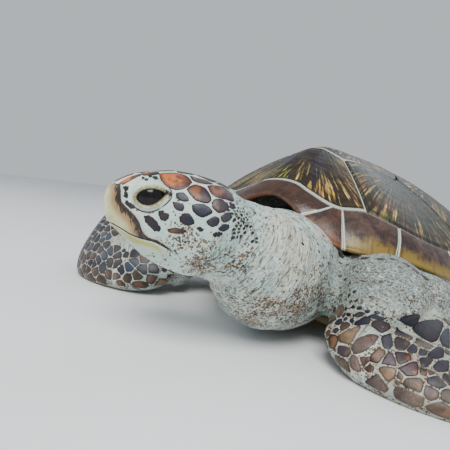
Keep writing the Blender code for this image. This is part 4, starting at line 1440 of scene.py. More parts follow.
# Mouth line past the corner, nostril and folds in the head's frame, (x, z).
MOUTH_LINE = ((0.0900, -0.0175), (0.0794, -0.0203), (0.0729, -0.0228), (0.0551, -0.0326),
              (0.0393, -0.0380), (0.0291, -0.0402), (0.0136, -0.0482), (0.0015, -0.0582),
              (-0.0040, -0.0640))
NOSTRIL = (0.0840, 0.0068, 0.0136)
FILLINGS = (((0.108, -0.330, 0.086), (0.062, 0.070, 0.056)),
            ((-0.080, -0.315, 0.086), (0.062, 0.066, 0.054)),
            ((0.180, -0.395, 0.062), (0.044, 0.044, 0.050)),
            ((-0.180, -0.395, 0.062), (0.044, 0.044, 0.050)),
            ((0.043, -0.555, 0.124), (0.038, 0.038, 0.037)),
            ((0.236, -0.325, 0.078), (0.052, 0.070, 0.056)),
            ((-0.236, -0.325, 0.078), (0.052, 0.070, 0.056)))
# Places where grains and stains gather: x, y, z and reach.
GRIME = ((0.059, -0.612, 0.121, 0.028), (0.046, -0.640, 0.148, 0.020), (0.127, -0.485, 0.075, 0.036),
         (0.108, -0.520, 0.062, 0.036), (0.136, -0.454, 0.095, 0.024), (0.090, -0.580, 0.128, 0.016),
         (0.075, -0.520, 0.032, 0.040))
SKIN_NECK = (
    (0.000, 0.150, 0.104, 0.104, 0.068), (0.010, 0.085, 0.102, 0.120, 0.080),
    (0.030, 0.020, 0.100, 0.112, 0.090), (0.048, -0.040, 0.098, 0.094, 0.086),
    (0.059, -0.092, 0.117, 0.074, 0.078), (0.058, -0.132, 0.137, 0.060, 0.062),
    (0.044, -0.165, 0.147, 0.048, 0.050), (0.026, -0.184, 0.154, 0.030, 0.030),
)


@dataclass
class Skin:
    """One skin over all the flesh, with lids, mouth, nostrils and folds in its mesh."""

    forms: Forms
    voxel: float = 0.0068
    first_passes: int = 14
    second_passes: int = 4
    fine_crease: float = 0.0002
    broad_crease: float = 0.0010
    lip_depth: float = 0.0017
    lip_width: float = 0.0011
    # Places and reach of the shoulders' net of small scales.
    net: Rows = ((0.205, -0.375, 0.110, 0.075), (-0.205, -0.375, 0.110, 0.075),
                 (0.150, -0.330, 0.150, 0.060), (0.245, -0.300, 0.090, 0.070))

    def __post_init__(self) -> None:
        """Make the search trees of the head and the flippers."""
        f = self.forms
        self.head_tree = form_tree(f.head.out(f.head_rings().reshape(-1, 3)).reshape(-1, 96, 3))
        self.blades = {side: form_tree(f.blade(LEFT_FLIPPER if side > 0 else RIGHT_FLIPPER, side,
                                               64, 10)) for side in (1, -1)}
        self.hinds = {side: form_tree(f.blade(HIND_FLIPPER, side, 64, 8)) for side in (1, -1)}

    def raw(self) -> bpy.types.Object:
        """Join every form and fuse them into one even mesh.

        Returns:
            The fused object.
        """
        f = self.forms
        lofts = [f.head.out(f.head_rings().reshape(-1, 3)).reshape(-1, 96, 3),
                 f.spine(SKIN_NECK, 1, 64, 8), f.trunk(), f.spine(TAIL_STATIONS, 1, 32, 5)]
        for side in (1, -1):
            centre = (EYE_CENTRE[0], EYE_CENTRE[1] * side, EYE_CENTRE[2])
            lid = f.ball(centre, (EYE_RADIUS + LID_THICKNESS,) * 3)
            lofts.append(f.head.out(lid.reshape(-1, 3)).reshape(lid.shape))
            lofts.append(f.spine(ARM_STATIONS, side, 48, 8))
            front = LEFT_FLIPPER if side > 0 else RIGHT_FLIPPER
            for stations in (front, HIND_FLIPPER):
                wide = [(*row[:6], row[6] + 0.0035) for row in stations]
                lofts.append(f.blade(wide, side, 48, 6))
        lofts += [f.ball(centre, radii) for centre, radii in FILLINGS]
        points, faces, start = [], [], 0
        for rings in lofts:
            count, size = rings.shape[:2]
            points.append(rings.reshape(-1, 3))
            faces += [[start + i for i in face] for face in ring_faces(count, size)]
            start += count * size
        item = new_piece("skin", np.vstack(points), faces, None)
        step = item.modifiers.new("fuse", "REMESH")
        step.mode = "VOXEL"
        step.voxel_size = self.voxel
        step.adaptivity = 0.0
        settle(item, "skin")
        return item

    def hide_caps(self, item: bpy.types.Object) -> None:
        """Replace the sheets hidden under the dome and over the plastron by plain caps.

        Args:
            item: the skin.
        """
        shell = self.forms.shell
        body = bmesh.new()
        body.from_mesh(item.data)
        centres = np.array([face.calc_center_median()[:] for face in body.faces])
        angle, radius = shell.polar(centres[:, :2])
        top = (radius < shell.ring_radius(angle) - 0.030) & (centres[:, 2] > shell.underside(angle)
                                                             + 0.004)
        low = (radius < shell.sized(PLASTRON_RADIUS, angle) - 0.030) & (centres[:, 2] < 0.024)
        doomed = [face for face, gone in zip(body.faces, top | low) if gone]
        bmesh.ops.delete(body, geom=doomed, context="FACES")
        loose = [v for v in body.verts if not v.link_faces]
        bmesh.ops.delete(body, geom=loose, context="VERTS")
        body.edges.index_update()
        waiting = {edge.index: edge for edge in body.edges if edge.is_boundary}
        while waiting:
            loop = [waiting.pop(next(iter(waiting)))]
            stack = list(loop[0].verts)
            while stack:
                for other in stack.pop().link_edges:
                    if waiting.pop(other.index, None):
                        loop.append(other)
                        stack += list(other.verts)
            middle = sum((v.co for e in loop for v in e.verts), Vector()) / (2 * len(loop))
            hub = body.verts.new(middle)
            for other in loop:
                body.faces.new((other.verts[0], other.verts[1], hub))
        bmesh.ops.recalc_face_normals(body, faces=body.faces[:])
        body.to_mesh(item.data)
        body.free()

    def refine(self, item: bpy.types.Object, chosen: np.ndarray) -> None:
        """Split the edges whose two ends are both chosen.

        Args:
            item: the skin.
            chosen: one flag for each vertex.
        """
        body = bmesh.new()
        body.from_mesh(item.data)
        body.verts.ensure_lookup_table()
        edges = [e for e in body.edges if chosen[e.verts[0].index] and chosen[e.verts[1].index]]
        bmesh.ops.subdivide_edges(body, edges=edges, cuts=1, use_grid_fill=True)
        many = [face for face in body.faces if len(face.verts) > 4]
        bmesh.ops.triangulate(body, faces=many)
        body.to_mesh(item.data)
        body.free()

    def limb_weight(self, points: np.ndarray, side: int) -> np.ndarray:
        """How far out along a front flipper points are, 0 to 1."""
        reach = smooth_step(0.215, 0.245, points[:, 0] * side) * (points[:, 2] < 0.135)
        return reach * self.closeness(points, reach > 0, self.blades[side])

    def both_limbs(self, points: np.ndarray) -> np.ndarray:
        """The larger of the two front flippers' weights."""
        return np.maximum(self.limb_weight(points, 1), self.limb_weight(points, -1))

    def hind_weight(self, points: np.ndarray, side: int) -> np.ndarray:
        """How far out along a hind flipper points are, 0 to 1."""
        reach = smooth_step(0.265, 0.295, points[:, 1]) * (points[:, 0] * side > 0.085)
        return reach * self.closeness(points, reach > 0, self.hinds[side])

    def closeness(self, points: np.ndarray, chosen: np.ndarray, tree: BVHTree) -> np.ndarray:
        """How near chosen points lie to a form, 1 within about 8 mm and 0 beyond 15 mm.

        Args:
            points: skin points.
            chosen: which of them count.
            tree: the form's search tree.

        Returns:
            A weight for each point.
        """
        out = np.zeros(len(points))
        for i in np.nonzero(chosen)[0]:
            out[i] = tree.find_nearest(points[i])[3]
        return smooth_step(0.015, 0.008, out) * chosen

    def head_weight(self, points: np.ndarray) -> np.ndarray:
        """How surely points belong to the head's own form, 0 to 1.

        Args:
            points: skin points.

        Returns:
            A weight for each point.
        """
        local = self.forms.head.into(points)
        near = np.hypot(local[:, 1], local[:, 2] + 0.02) < 0.085
        throat = 0.036 * smooth_step(-0.025, -0.065, local[:, 2])
        return smooth_step(-0.060, -0.034, local[:, 0] - throat) * near

    def eye_relief(self, local: np.ndarray) -> tuple[np.ndarray, np.ndarray]:
        """Shape lids round both eyes.

        Args:
            local: skin points in the head's frame.

        Returns:
            The new points and the distance from the lids' opening, in metres.
        """
        opening = catmull(np.array(LID_OPENING), 8, closed=True)
        cx, cy, cz = EYE_CENTRE
        out = local.copy()
        lid_gap = np.full(len(local), 0.05)
        for side in (1, -1):
            zone = (np.hypot(local[:, 0] - cx, local[:, 2] - cz) < 0.036) & (local[:, 1] * side
                                                                               > 0.012)
            i = np.nonzero(zone)[0]
            p = local[i]
            d = signed_distance(p[:, (0, 2)], opening)
            rho2 = (p[:, 0] - cx) ** 2 + (p[:, 2] - cz) ** 2
            head = p[:, 1] * side
            lid = cy + np.sqrt(np.maximum((EYE_RADIUS + LID_THICKNESS) ** 2 - rho2, 0.0))
            lid = np.where(rho2 < (EYE_RADIUS + LID_THICKNESS) ** 2, lid, 0)
            mixed = np.clip(0.5 + 0.5 * (lid - head) / 0.004, 0, 1)
            full = head + (lid - head) * mixed + 0.004 * mixed * (1 - mixed)
            full = full + 0.0008 * np.exp(-((d - 0.0042) / 0.0022) ** 2)
            lower = smooth_step(0.006, -0.004, p[:, 2] - cz + (p[:, 0] - cx) * 0.4)
            full = full - 0.0008 * np.exp(-((d - 0.0078) / 0.0009) ** 2) * lower
            full = full + 0.00022 * np.sin(d * 3400.0) * smooth_step(0.001, 0.003, d) \
                * smooth_step(0.010, 0.006, d)
            ball = cy + np.sqrt(np.maximum(EYE_RADIUS**2 - rho2, 0.0))
            rim = ball + 0.0007 + (full - ball - 0.0007) * smooth_step(-0.0004, 0.0034, d) ** 0.8
            deep = ball - 0.0026
            sink = smooth_step(0.0002, -0.0007, d)
            y = np.where(d < 0.004, rim * (1 - sink) + deep * sink, full)
            out[i, 1] = y * side
            lid_gap[i] = np.where((rho2 < 0.034**2) & ((lower > 0.4) | (d < 0.0072)), d, 0.05)
        return out, lid_gap

    def mouth_relief(self, local: np.ndarray, normal: np.ndarray) -> np.ndarray:
        """Press the mouth line and the nostrils into the head.

        Args:
            local: skin points in the head's frame.
            normal: their outward directions in that frame.

        Returns:
            The new points.
        """
        away = path_distance(local[:, (0, 2)], catmull(np.array(MOUTH_LINE), 6))[0]
        press = self.lip_depth * np.exp(-(away / self.lip_width) ** 2) * (local[:, 0] > 0.0)
        front = smooth_step(-0.004, 0.01, local[:, 0])
        lip = 0.0007 * np.exp(-((away - 0.0035) / 0.0020) ** 2) * front
        out = local + normal * (lip - press)[:, None]
        for side in (1, -1):
            x, y, z = NOSTRIL
            gap = np.linalg.norm(local - np.array((x, y * side, z)), axis=1)
            out -= normal * (0.0030 * np.exp(-(gap / 0.0022) ** 2))[:, None]
        return out

    def folds(self, points: np.ndarray) -> tuple[np.ndarray, ...]:
        """Lengths along, round and up the neck and arms, for creases across them.

        Args:
            points: skin points.

        Returns:
            Length along, round and up, and how strong creases are.
        """
        total, along, around, rise, power = np.zeros((5, len(points)))
        for stations, side, strength in ((NECK_STATIONS, 1, 1.0), (ARM_STATIONS, 1, 0.8),
                                         (ARM_STATIONS, -1, 0.8)):
            path = catmull(from_nuchal(stations, side)[:, :3], 5)
            away, gone = path_distance(points, path)
            marks = lengths(path)
            off = points - np.array([np.interp(gone, marks, path[:, k]) for k in range(3)]).T
            turn = np.arctan2(off[:, 2], off[:, 0] * side)
            lean = np.zeros(len(points))
            if stations is NECK_STATIONS:
                off = points - np.array(self.forms.head.centre)
                gone = np.linalg.norm(off, axis=1)
                turn = 2 * np.arctan2(off[:, 0], off[:, 1])
                lean = 0.15 * np.arctan2(off[:, 2], np.linalg.norm(off[:, :2], axis=1))
            weight = np.exp(-(np.maximum(away - 0.05, 0) / 0.03) ** 2) + 1e-6
            along += gone * weight
            around += turn * 0.08 * weight
            power += strength * weight
            rise += lean * weight
            total += weight
        return along / total, around / total, rise / total, np.clip(power / total, 0, 1)

    def hug_head(self, item: bpy.types.Object, points: np.ndarray) -> np.ndarray:
        """Draw the skin onto the head's form.

        Args:
            item: the skin.
            points: where its vertices are.

        Returns:
            The new places in the head's own frame.
        """
        points = pull_to(points, self.head_weight(points), self.head_tree)
        place_all(item, points)
        return self.forms.head.into(points)

    def build(self, finish: bpy.types.Material) -> bpy.types.Object:
        """Build the skin.

        Args:
            finish: its material.

        Returns:
            The skin, with the attributes that its material reads.
        """
        f = self.forms
        item = self.raw()
        self.hide_caps(item)
        points = places(item)
        points = smooth_verts(points, edge_pairs(item), self.first_passes, np.ones(len(points)))
        place_all(item, points)
        near_neck = (points[:, 1] < -0.385) & (np.abs(points[:, 0]) < 0.24)
        self.refine(item, near_neck | (self.limb_weight(points, 1) > 0.01)
                    | (self.limb_weight(points, -1) > 0.5) & (points[:, 1] < -0.35))
        points = places(item)
        points = smooth_verts(points, edge_pairs(item), self.second_passes,
                              1 - self.head_weight(points))
        local = self.hug_head(item, points)
        near = np.hypot(local[:, 1], local[:, 2] + 0.02) < 0.090
        self.refine(item, (local[:, 0] > -0.062) & near)
        local = self.hug_head(item, places(item))
        eye = np.hypot(local[:, 0] - EYE_CENTRE[0], local[:, 2] - EYE_CENTRE[2]) < 0.024
        eye &= (np.abs(local[:, 1]) > 0.026) & (local[:, 0] > 0.0)
        self.refine(item, eye)
        points = places(item)
        points = pull_to(points, self.head_weight(points), self.head_tree)
        for side in (1, -1):
            points = pull_to(points, self.limb_weight(points, side), self.blades[side])
            points = pull_to(points, self.hind_weight(points, side), self.hinds[side])
        place_all(item, points)
        local = f.head.into(points)
        local, lid_gap = self.eye_relief(local)
        points = f.head.out(local)
        place_all(item, points)
        out = np.zeros(len(points) * 3, np.float32)
        item.data.vertices.foreach_get("normal", out)
        normal = out.reshape(-1, 3) @ f.head.matrix()[:3, :3]
        strong = self.head_weight(points)
        local += (self.mouth_relief(local, normal) - local) * strong[:, None]
        points = f.head.out(local)
        along, around, rise, power = self.folds(points)
        power = power * (1 - strong) * (points[:, 1] < -0.20)
        power *= 1 - self.both_limbs(points)
        wave = np.sin(along * 620.0 + 1.6 * np.sin(around * 60.0)) * np.sin(around * 31.0 + 1.0)
        broad = np.sin(along * 150.0 + 1.2 * np.sin(around * 22.0))
        normal_out = out.reshape(-1, 3)
        crease = (self.fine_crease * wave + self.broad_crease * broad) * power
        points = points + normal_out * crease[:, None]
        points[:, 2] = np.maximum(points[:, 2], 0.0)
        place_all(item, points)
        item.data.shade_smooth()
        item.data.materials.clear()
        item.data.materials.append(finish)
        paint(item, "lid", lid_gap)
        paint(item, "fold", np.column_stack((along, around, rise)))
        paint(item, "headness", strong)
        limb = self.both_limbs(points)
        paint(item, "limb", limb)
        paint(item, "mesh", np.minimum(halo(points, self.net) * 1.8, 1) * (1 - limb))
        low = smooth_step(0.150, 0.050, points[:, 2])
        grime = 0.45 * low * (points[:, 1] < -0.2)
        paint(item, "grime", np.maximum(grime, halo(points, GRIME)))
        # Painted shade under the front rim, where the skin lies in the rim's shadow, and along the mouth
        # line.
        angle, radius = f.shell.polar(points[:, :2])
        roof = smooth_step(0.002, -0.012, radius - f.shell.sized(RIM_RADIUS, angle))
        pocket = roof * (points[:, 1] < 0.0) * smooth_step(0.150, 0.172, points[:, 2])
        lips = path_distance(local[:, (0, 2)], catmull(np.array(MOUTH_LINE), 6))[0]
        lips = smooth_step(0.0017, 0.0009, lips) * (local[:, 0] > 0.008) * strong
        paint(item, "pocket", np.maximum(pocket, lips))
        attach(item, "root")
        LOG.info("skin: %d faces, %d triangles", len(item.data.polygons),
                 sum(len(p.vertices) - 2 for p in item.data.polygons))
        return item


# ---- Scales ----
class Tone(Enum):
    """Colours of scales: middle, rim, warm patch, and how much of the scale the patch takes."""

    NAVY = ((0.015, 0.017, 0.031), (0.004, 0.004, 0.008), (0.036, 0.025, 0.032), 0.30)
    BLUE = ((0.030, 0.040, 0.070), (0.008, 0.009, 0.016), (0.050, 0.056, 0.075), 0.20)
    BLACK = ((0.012, 0.011, 0.015), (0.005, 0.004, 0.005), (0.030, 0.020, 0.018), 0.25)
    PLUM = ((0.034, 0.023, 0.032), (0.008, 0.006, 0.009), (0.115, 0.060, 0.045), 0.38)
    PURPLE = ((0.046, 0.024, 0.029), (0.010, 0.007, 0.010), (0.170, 0.070, 0.045), 0.48)
    RUST = ((0.046, 0.024, 0.028), (0.008, 0.006, 0.010), (0.270, 0.085, 0.025), 0.50)
    ORANGE = ((0.095, 0.034, 0.024), (0.020, 0.009, 0.011), (0.360, 0.105, 0.026), 0.60)
    PINK = ((0.120, 0.044, 0.030), (0.026, 0.014, 0.016), (0.300, 0.105, 0.050), 0.55)
    GREY = ((0.066, 0.042, 0.045), (0.014, 0.011, 0.014), (0.170, 0.095, 0.070), 0.45)
    BROWN = ((0.042, 0.022, 0.015), (0.010, 0.007, 0.006), (0.120, 0.058, 0.030), 0.45)
    TAN = ((0.110, 0.068, 0.038), (0.030, 0.020, 0.015), (0.210, 0.125, 0.065), 0.55)


@dataclass(frozen=True)
class ScaleFinish:
    """Horny scale: near-black rim, clouded middle, a soft wet gloss."""

    name: str = "scale_horn"

    def build(self) -> bpy.types.Material:
        """Write the material.

        Returns:
            The material.
        """
        s = Shade(self.name, 0.3)
        place = s.place()
        rim = s.read("rim")
        cloud = s.noise(place, 95.0, 3.0, 0.6, 0.5)
        fine = s.noise(place, 420.0, 3.0, 0.65)
        middle = s.read("middle", "Color")
        edge = s.read("border", "Color")
        warm = s.read("warm", "Color")
        share = s.read("share")
        base = s.mix(s.step(cloud + (share - 0.5) * 0.7, 0.42, 0.66), middle, warm)
        base = s.mix(s.step(fine, 0.52, 0.72) * 0.35, base, edge)
        base = s.mix(s.step(rim + (fine - 0.5) * 0.3 + (cloud - 0.5) * 0.3, 0.45, 0.92) * 0.92,
                     base, edge)
        grit = s.noise(place, 700.0, 2.0, 0.7)
        dirt = s.noise(place, 24.0, 3.0, 0.6, 0.4)
        sand = s.step(grit + (dirt - 0.5) * 0.7, 0.64, 0.72) * s.read("sand")
        base = s.mix(s.step(dirt, 0.36, 0.66) * s.read("sand") * 0.60, base, (0.165, 0.132, 0.098))
        base = s.mix(sand * 0.75, base, (0.330, 0.250, 0.165))
        rough = s.step(fine, 0.2, 0.9, 0.34, 0.52) + sand * 0.3
        height = cloud * 0.5 + fine * 0.35 + sand * 0.8
        return s.finish(base, rough, height, 0.0007, 0.6, Specular_IOR_Level=0.30)


@dataclass
class Seed:
    """One scale to be: its place on the skin, its directions, half sizes and tone."""

    place: np.ndarray
    normal: np.ndarray
    first: np.ndarray
    second: np.ndarray
    long: float
    wide: float
    tone: Tone
    sand: float = 0.2
    outline: Union[np.ndarray, None] = None
    tiled: bool = False

    def support(self, way: np.ndarray) -> float:
        """How far the outline goes towards a direction."""
        return float((self.outline @ np.array((way @ self.first, way @ self.second))).max())

    def reach(self, way: np.ndarray) -> float:
        """Half size of the scale towards a direction."""
        a, b = float(way @ self.first), float(way @ self.second)
        size = math.hypot(a, b) or 1.0
        return 1.0 / math.sqrt((a / size / self.long) ** 2 + (b / size / self.wide) ** 2)


# Large scales of the left of the head: tone, then x, y, z of each corner in the head's frame,
# in millimetres.
HEAD_PLATES = (
    (Tone.BLACK, (15, 42.9, 17.8, 8.6, 44, 13.4, 9.5, 46, 9.5, 13.6, 42, 11.6)),
    (Tone.RUST, (40.7, 16.3, 36.7, 24.6, 14.7, 38.9, 21.4, 23.5, 35.6, 28.9, 24.5, 34.3, 39.6, 23.1, 33.7)),
    (Tone.ORANGE, (21.7, 22.8, 36, 15.3, 21.4, 37.2, 3, 21.7, 37.2, -8.4, 25.8, 34.2, -15, 36.3,
     26.3, -10.7, 41.5, 21.3, -3.8, 43.6, 17.9, 3.5, 43.2, 17.3, 9.4, 41.1, 19.1, 15.3, 38.1, 22.5,
     19.8, 32.9, 28.7)),
    (Tone.RUST, (-8.6, 43.9, 17.9, -18.3, 38.9, 23.5, -29.2, 41.2, 19.3, -33.2, 45.8, 13, -35.3, 50,
     5.9, -31.1, 51.8, 2.1, -24.8, 51.2, 3.6, -18.2, 50.2, 5.9, -12.5, 47.3, 12.2)),
    (Tone.PURPLE, (-32.2, 37.7, 21.8, -41, 33.3, 22.3, -52.3, 29.6, 18.8, -58.8, 33.2, 14.4, -62.8,
     42.7, 5.6, -57.8, 45.6, 5.2, -47.7, 46.6, 7.5, -40.9, 47.5, 8.9, -35.9, 45.1, 13.5)),
    (Tone.GREY, (-13.1, 24.6, 34, -21.4, 27.1, 31.1, -32.3, 26.8, 28.4, -40.4, 31.3, 23.7, -31.5,
     35.5, 23.7, -21.6, 36.1, 25.5, -16.1, 33.7, 28.3)),
    (Tone.PLUM, (-39.1, 49.4, 6.2, -47.6, 47.7, 6, -54.1, 49.8, 0.3, -54.6, 51.9, -3.9, -47.5, 53.9,
     -7.4, -42.7, 54.6, -8.2, -36.9, 53.4, -2.6, -36.7, 51.5, 2.5)),
    (Tone.NAVY, (2.4, 45.3, 13.4, -4.5, 46, 13.7, -9.2, 48.6, 8.9, -10.1, 50.2, 4.8, -5, 49.7, 4.5,
     0.5, 48.1, 6.5, 2.9, 46.6, 9.9)),
    (Tone.NAVY, (7, 47.8, 3.6, 2.3, 48.9, 2.6, -3.5, 50.2, 1.5, -4.9, 51.4, -2.6, -3.4, 51.7, -6.2,
     2.4, 50.3, -4.8, 5, 49.3, -1.8)),
    (Tone.NAVY, (-14.4, 51.9, 0, -19.6, 51.9, 1.2, -26.6, 52.3, 0.6, -32, 53.3, -2.3, -36.3, 54.5,
     -7, -33.3, 55, -9.7, -25.2, 55.2, -13.3, -19.4, 54.4, -10.6, -15.1, 53.3, -5.8)),
    (Tone.NAVY, (-5.6, 52.5, -9.2, -10.3, 53.3, -9.6, -13.8, 54.2, -14, -16.1, 54.8, -19.4, -13.4,
     54.5, -21, -6.9, 53.4, -21, -1.9, 52.3, -18, -0.7, 51.9, -15, -3.4, 52.3, -11.4)),
    (Tone.NAVY, (-29.5, 55.8, -17.6, -37.7, 55.6, -12.9, -42.5, 55.7, -14.1, -43.5, 56, -17.3,
     -41.3, 56.4, -21.7, -36.1, 56.3, -23.5, -31.7, 56.1, -20.9)),
    (Tone.NAVY, (-45.9, 55.2, -12.2, -51.7, 54.2, -9.3, -57, 52.8, -7.9, -57.7, 53.7, -11.6, -56.4,
     54.8, -16, -49.5, 56.1, -18.9, -46.5, 55.7, -15.9)),
    (Tone.NAVY, (-42.7, 56.5, -25.9, -48.7, 56.3, -21.2, -55.1, 55.6, -22.2, -54, 55.8, -26.3,
     -48.7, 56.4, -28.6, -44.5, 56.6, -27.6)),
    (Tone.BLACK, (-19.2, 55.2, -26, -22.5, 55.5, -23.7, -25.8, 55.8, -26.3, -22.9, 55.5, -28.7)),
    (Tone.BLACK, (-36.5, 56.1, -31.3, -41.2, 56.4, -29.4, -47.2, 56.4, -30.9, -45, 56.3, -34.3, -39,
     56.1, -34.3)),
    (Tone.BROWN, (13, 48.4, -26.4, 4, 50.8, -25.3, -4.7, 52.9, -26.3, -7.6, 53.4, -28.2, -3.3, 52.2,
     -30.8, 4, 50.3, -30.5, 10.6, 48.6, -29.8)),
    (Tone.BLACK, (38.7, 42.3, -12.9, 33.1, 43.9, -11.4, 29.9, 44.7, -14.4, 24.4, 46, -18.8, 20.3,
     46.6, -24.7, 22.3, 45.4, -28.9, 27.4, 44, -27.8, 31.8, 43.5, -23.3, 36.1, 42.8, -18.1)),
    (Tone.BLACK, (22.1, 46.3, -6.7, 17.7, 47.3, -6.2, 15.5, 48, -9.2, 11.4, 48.9, -9.9, 11.9, 49,
     -13.6, 14.1, 48.6, -17, 19.2, 47.4, -15.8, 22.1, 46.7, -12.1)),
    (Tone.BLACK, (62.1, 26.8, 20.8, 55.9, 29.8, 21.4, 56.4, 31.9, 16.9, 60.4, 30, 16.5)),
    (Tone.BLACK, (60.4, 30.5, 15.1, 56.7, 32.9, 13.1, 56.9, 33.8, 8.2, 60.3, 32.2, 9.4)),
    (Tone.BLACK, (59.3, 33.4, 5.6, 54.1, 36.5, 2.9, 49, 39.6, -1.1, 49.7, 38.1, -3.8, 55.4, 36.1,
     -2.6, 58.7, 34.2, 1.6)),
    (Tone.ORANGE, (67.2, 20.3, 24.8, 62.4, 19.7, 28.5, 51.9, 19.5, 33.2, 42.9, 16.8, 36.2, 39.9,
     17.2, 36.5, 44.1, 22.2, 33.4, 51.5, 24.8, 29.7, 58.9, 25.5, 25.2, 64, 24, 23.1)),
    (Tone.NAVY, (-57.1, 48.2, 2.1, -63.1, 45.9, 1.8, -61.4, 49.7, -3.5, -57.8, 50.5, -2.7)),
    (Tone.BLACK, (33.8, 24.6, 33.6, 31.1, 24.1, 34.3, 30.1, 27.6, 32, 32.3, 32.8, 31)),
    (Tone.BLACK, (28.9, 27, 32.6, 24.3, 27.7, 32.6, 23.1, 32.3, 29.6, 25.6, 38.7, 28.1, 28, 35.7,
     30)),
    (Tone.BLACK, (41.3, 25.6, 31.7, 39.2, 25.2, 32.3, 38.1, 35.3, 29.3, 40, 34.8, 28.8)),
    (Tone.BLACK, (36.6, 34.6, 30, 34.1, 37.8, 29.2, 35.1, 40.9, 27, 37.2, 39.5, 27.6)),
)
# Scales of the crown: x, y, half length, half width in millimetres, tone; both sides where y > 0.
CROWN_SCALES = ((0.0660, 0.0075, 10.0, 5.6, Tone.PINK), (0.0420, 0.0085, 8.5, 6.2, Tone.RUST),
                (0.0180, 0.0000, 14.0, 9.5, Tone.ORANGE), (-0.0130, 0.0000, 13.0, 14.0, Tone.GREY),
                (-0.0430, 0.0150, 13.0, 12.0, Tone.PURPLE), (-0.0650, 0.0080, 6.0, 6.5, Tone.PLUM),
                (-0.0640, 0.0270, 6.0, 7.0, Tone.PLUM))
# Small dark scales of the front limbs: x, y, z of the model's frame, half length and half
# width in millimetres, turn from +X in degrees.
LIMB_DOTS = ((0.1720, -0.4423, 0.0773, 5.0, 2.5, 165), (0.1800, -0.4518, 0.0734, 4.1, 2.3, 15),
             (0.1839, -0.4511, 0.0844, 3.9, 2.3, 6), (0.1931, -0.4563, 0.0867, 3.9, 2.6, 23),
             (0.2046, -0.4586, 0.0860, 3.5, 2.2, 17), (0.2160, -0.4583, 0.0883, 3.4, 2.2, 6),
             (0.1300, -0.3821, 0.1376, 6.0, 3.8, 12), (0.1348, -0.3701, 0.1390, 6.0, 3.8, 12),
             (0.1496, -0.3770, 0.1391, 6.0, 3.8, 12), (0.1656, -0.3824, 0.1411, 6.0, 3.8, 12),
             (0.1878, -0.3829, 0.1448, 6.0, 3.8, 12), (0.2019, -0.3695, 0.1472, 6.0, 3.8, 12),
             (0.2175, -0.3668, 0.1438, 6.0, 3.8, 12), (0.2311, -0.3648, 0.1369, 6.0, 3.8, 12),
             (0.2420, -0.3563, 0.1302, 6.0, 3.8, 12), (0.1198, -0.4930, 0.1541, 2.8, 2.0, 40),
             (0.1245, -0.4742, 0.1481, 2.8, 2.0, 40), (0.1230, -0.4471, 0.1434, 2.8, 2.0, 40),
             (0.0923, -0.4249, 0.1710, 2.8, 2.0, 40), (0.1072, -0.4794, 0.1709, 2.8, 2.0, 40),
             (0.1082, -0.4397, 0.1610, 2.8, 2.0, 40), (0.1165, -0.4394, 0.1526, 2.8, 2.0, 40),
             (0.0897, -0.4705, 0.1826, 2.8, 2.0, 40), (0.0802, -0.4347, 0.1782, 2.8, 2.0, 40),
             (0.1281, -0.4405, 0.1356, 2.8, 2.0, 40), (0.1317, -0.4276, 0.1283, 2.8, 2.0, 40),
             (0.1284, -0.4079, 0.1369, 2.8, 2.0, 40), (0.1352, -0.3936, 0.1273, 2.8, 2.0, 40),
             (0.1451, -0.3911, 0.1269, 2.8, 2.0, 40), (0.1594, -0.4017, 0.1283, 2.8, 2.0, 40),
             (0.1539, -0.4124, 0.1098, 2.8, 2.0, 40), (0.1660, -0.4237, 0.1089, 2.8, 2.0, 40),
             (0.1433, -0.4065, 0.1118, 2.8, 2.0, 40), (0.1776, -0.4380, 0.1013, 2.8, 2.0, 40),
             (0.1710, -0.4363, 0.0944, 2.8, 2.0, 40), (0.1848, -0.4467, 0.0924, 2.8, 2.0, 40),
             (0.1770, -0.4429, 0.0885, 2.8, 2.0, 40))
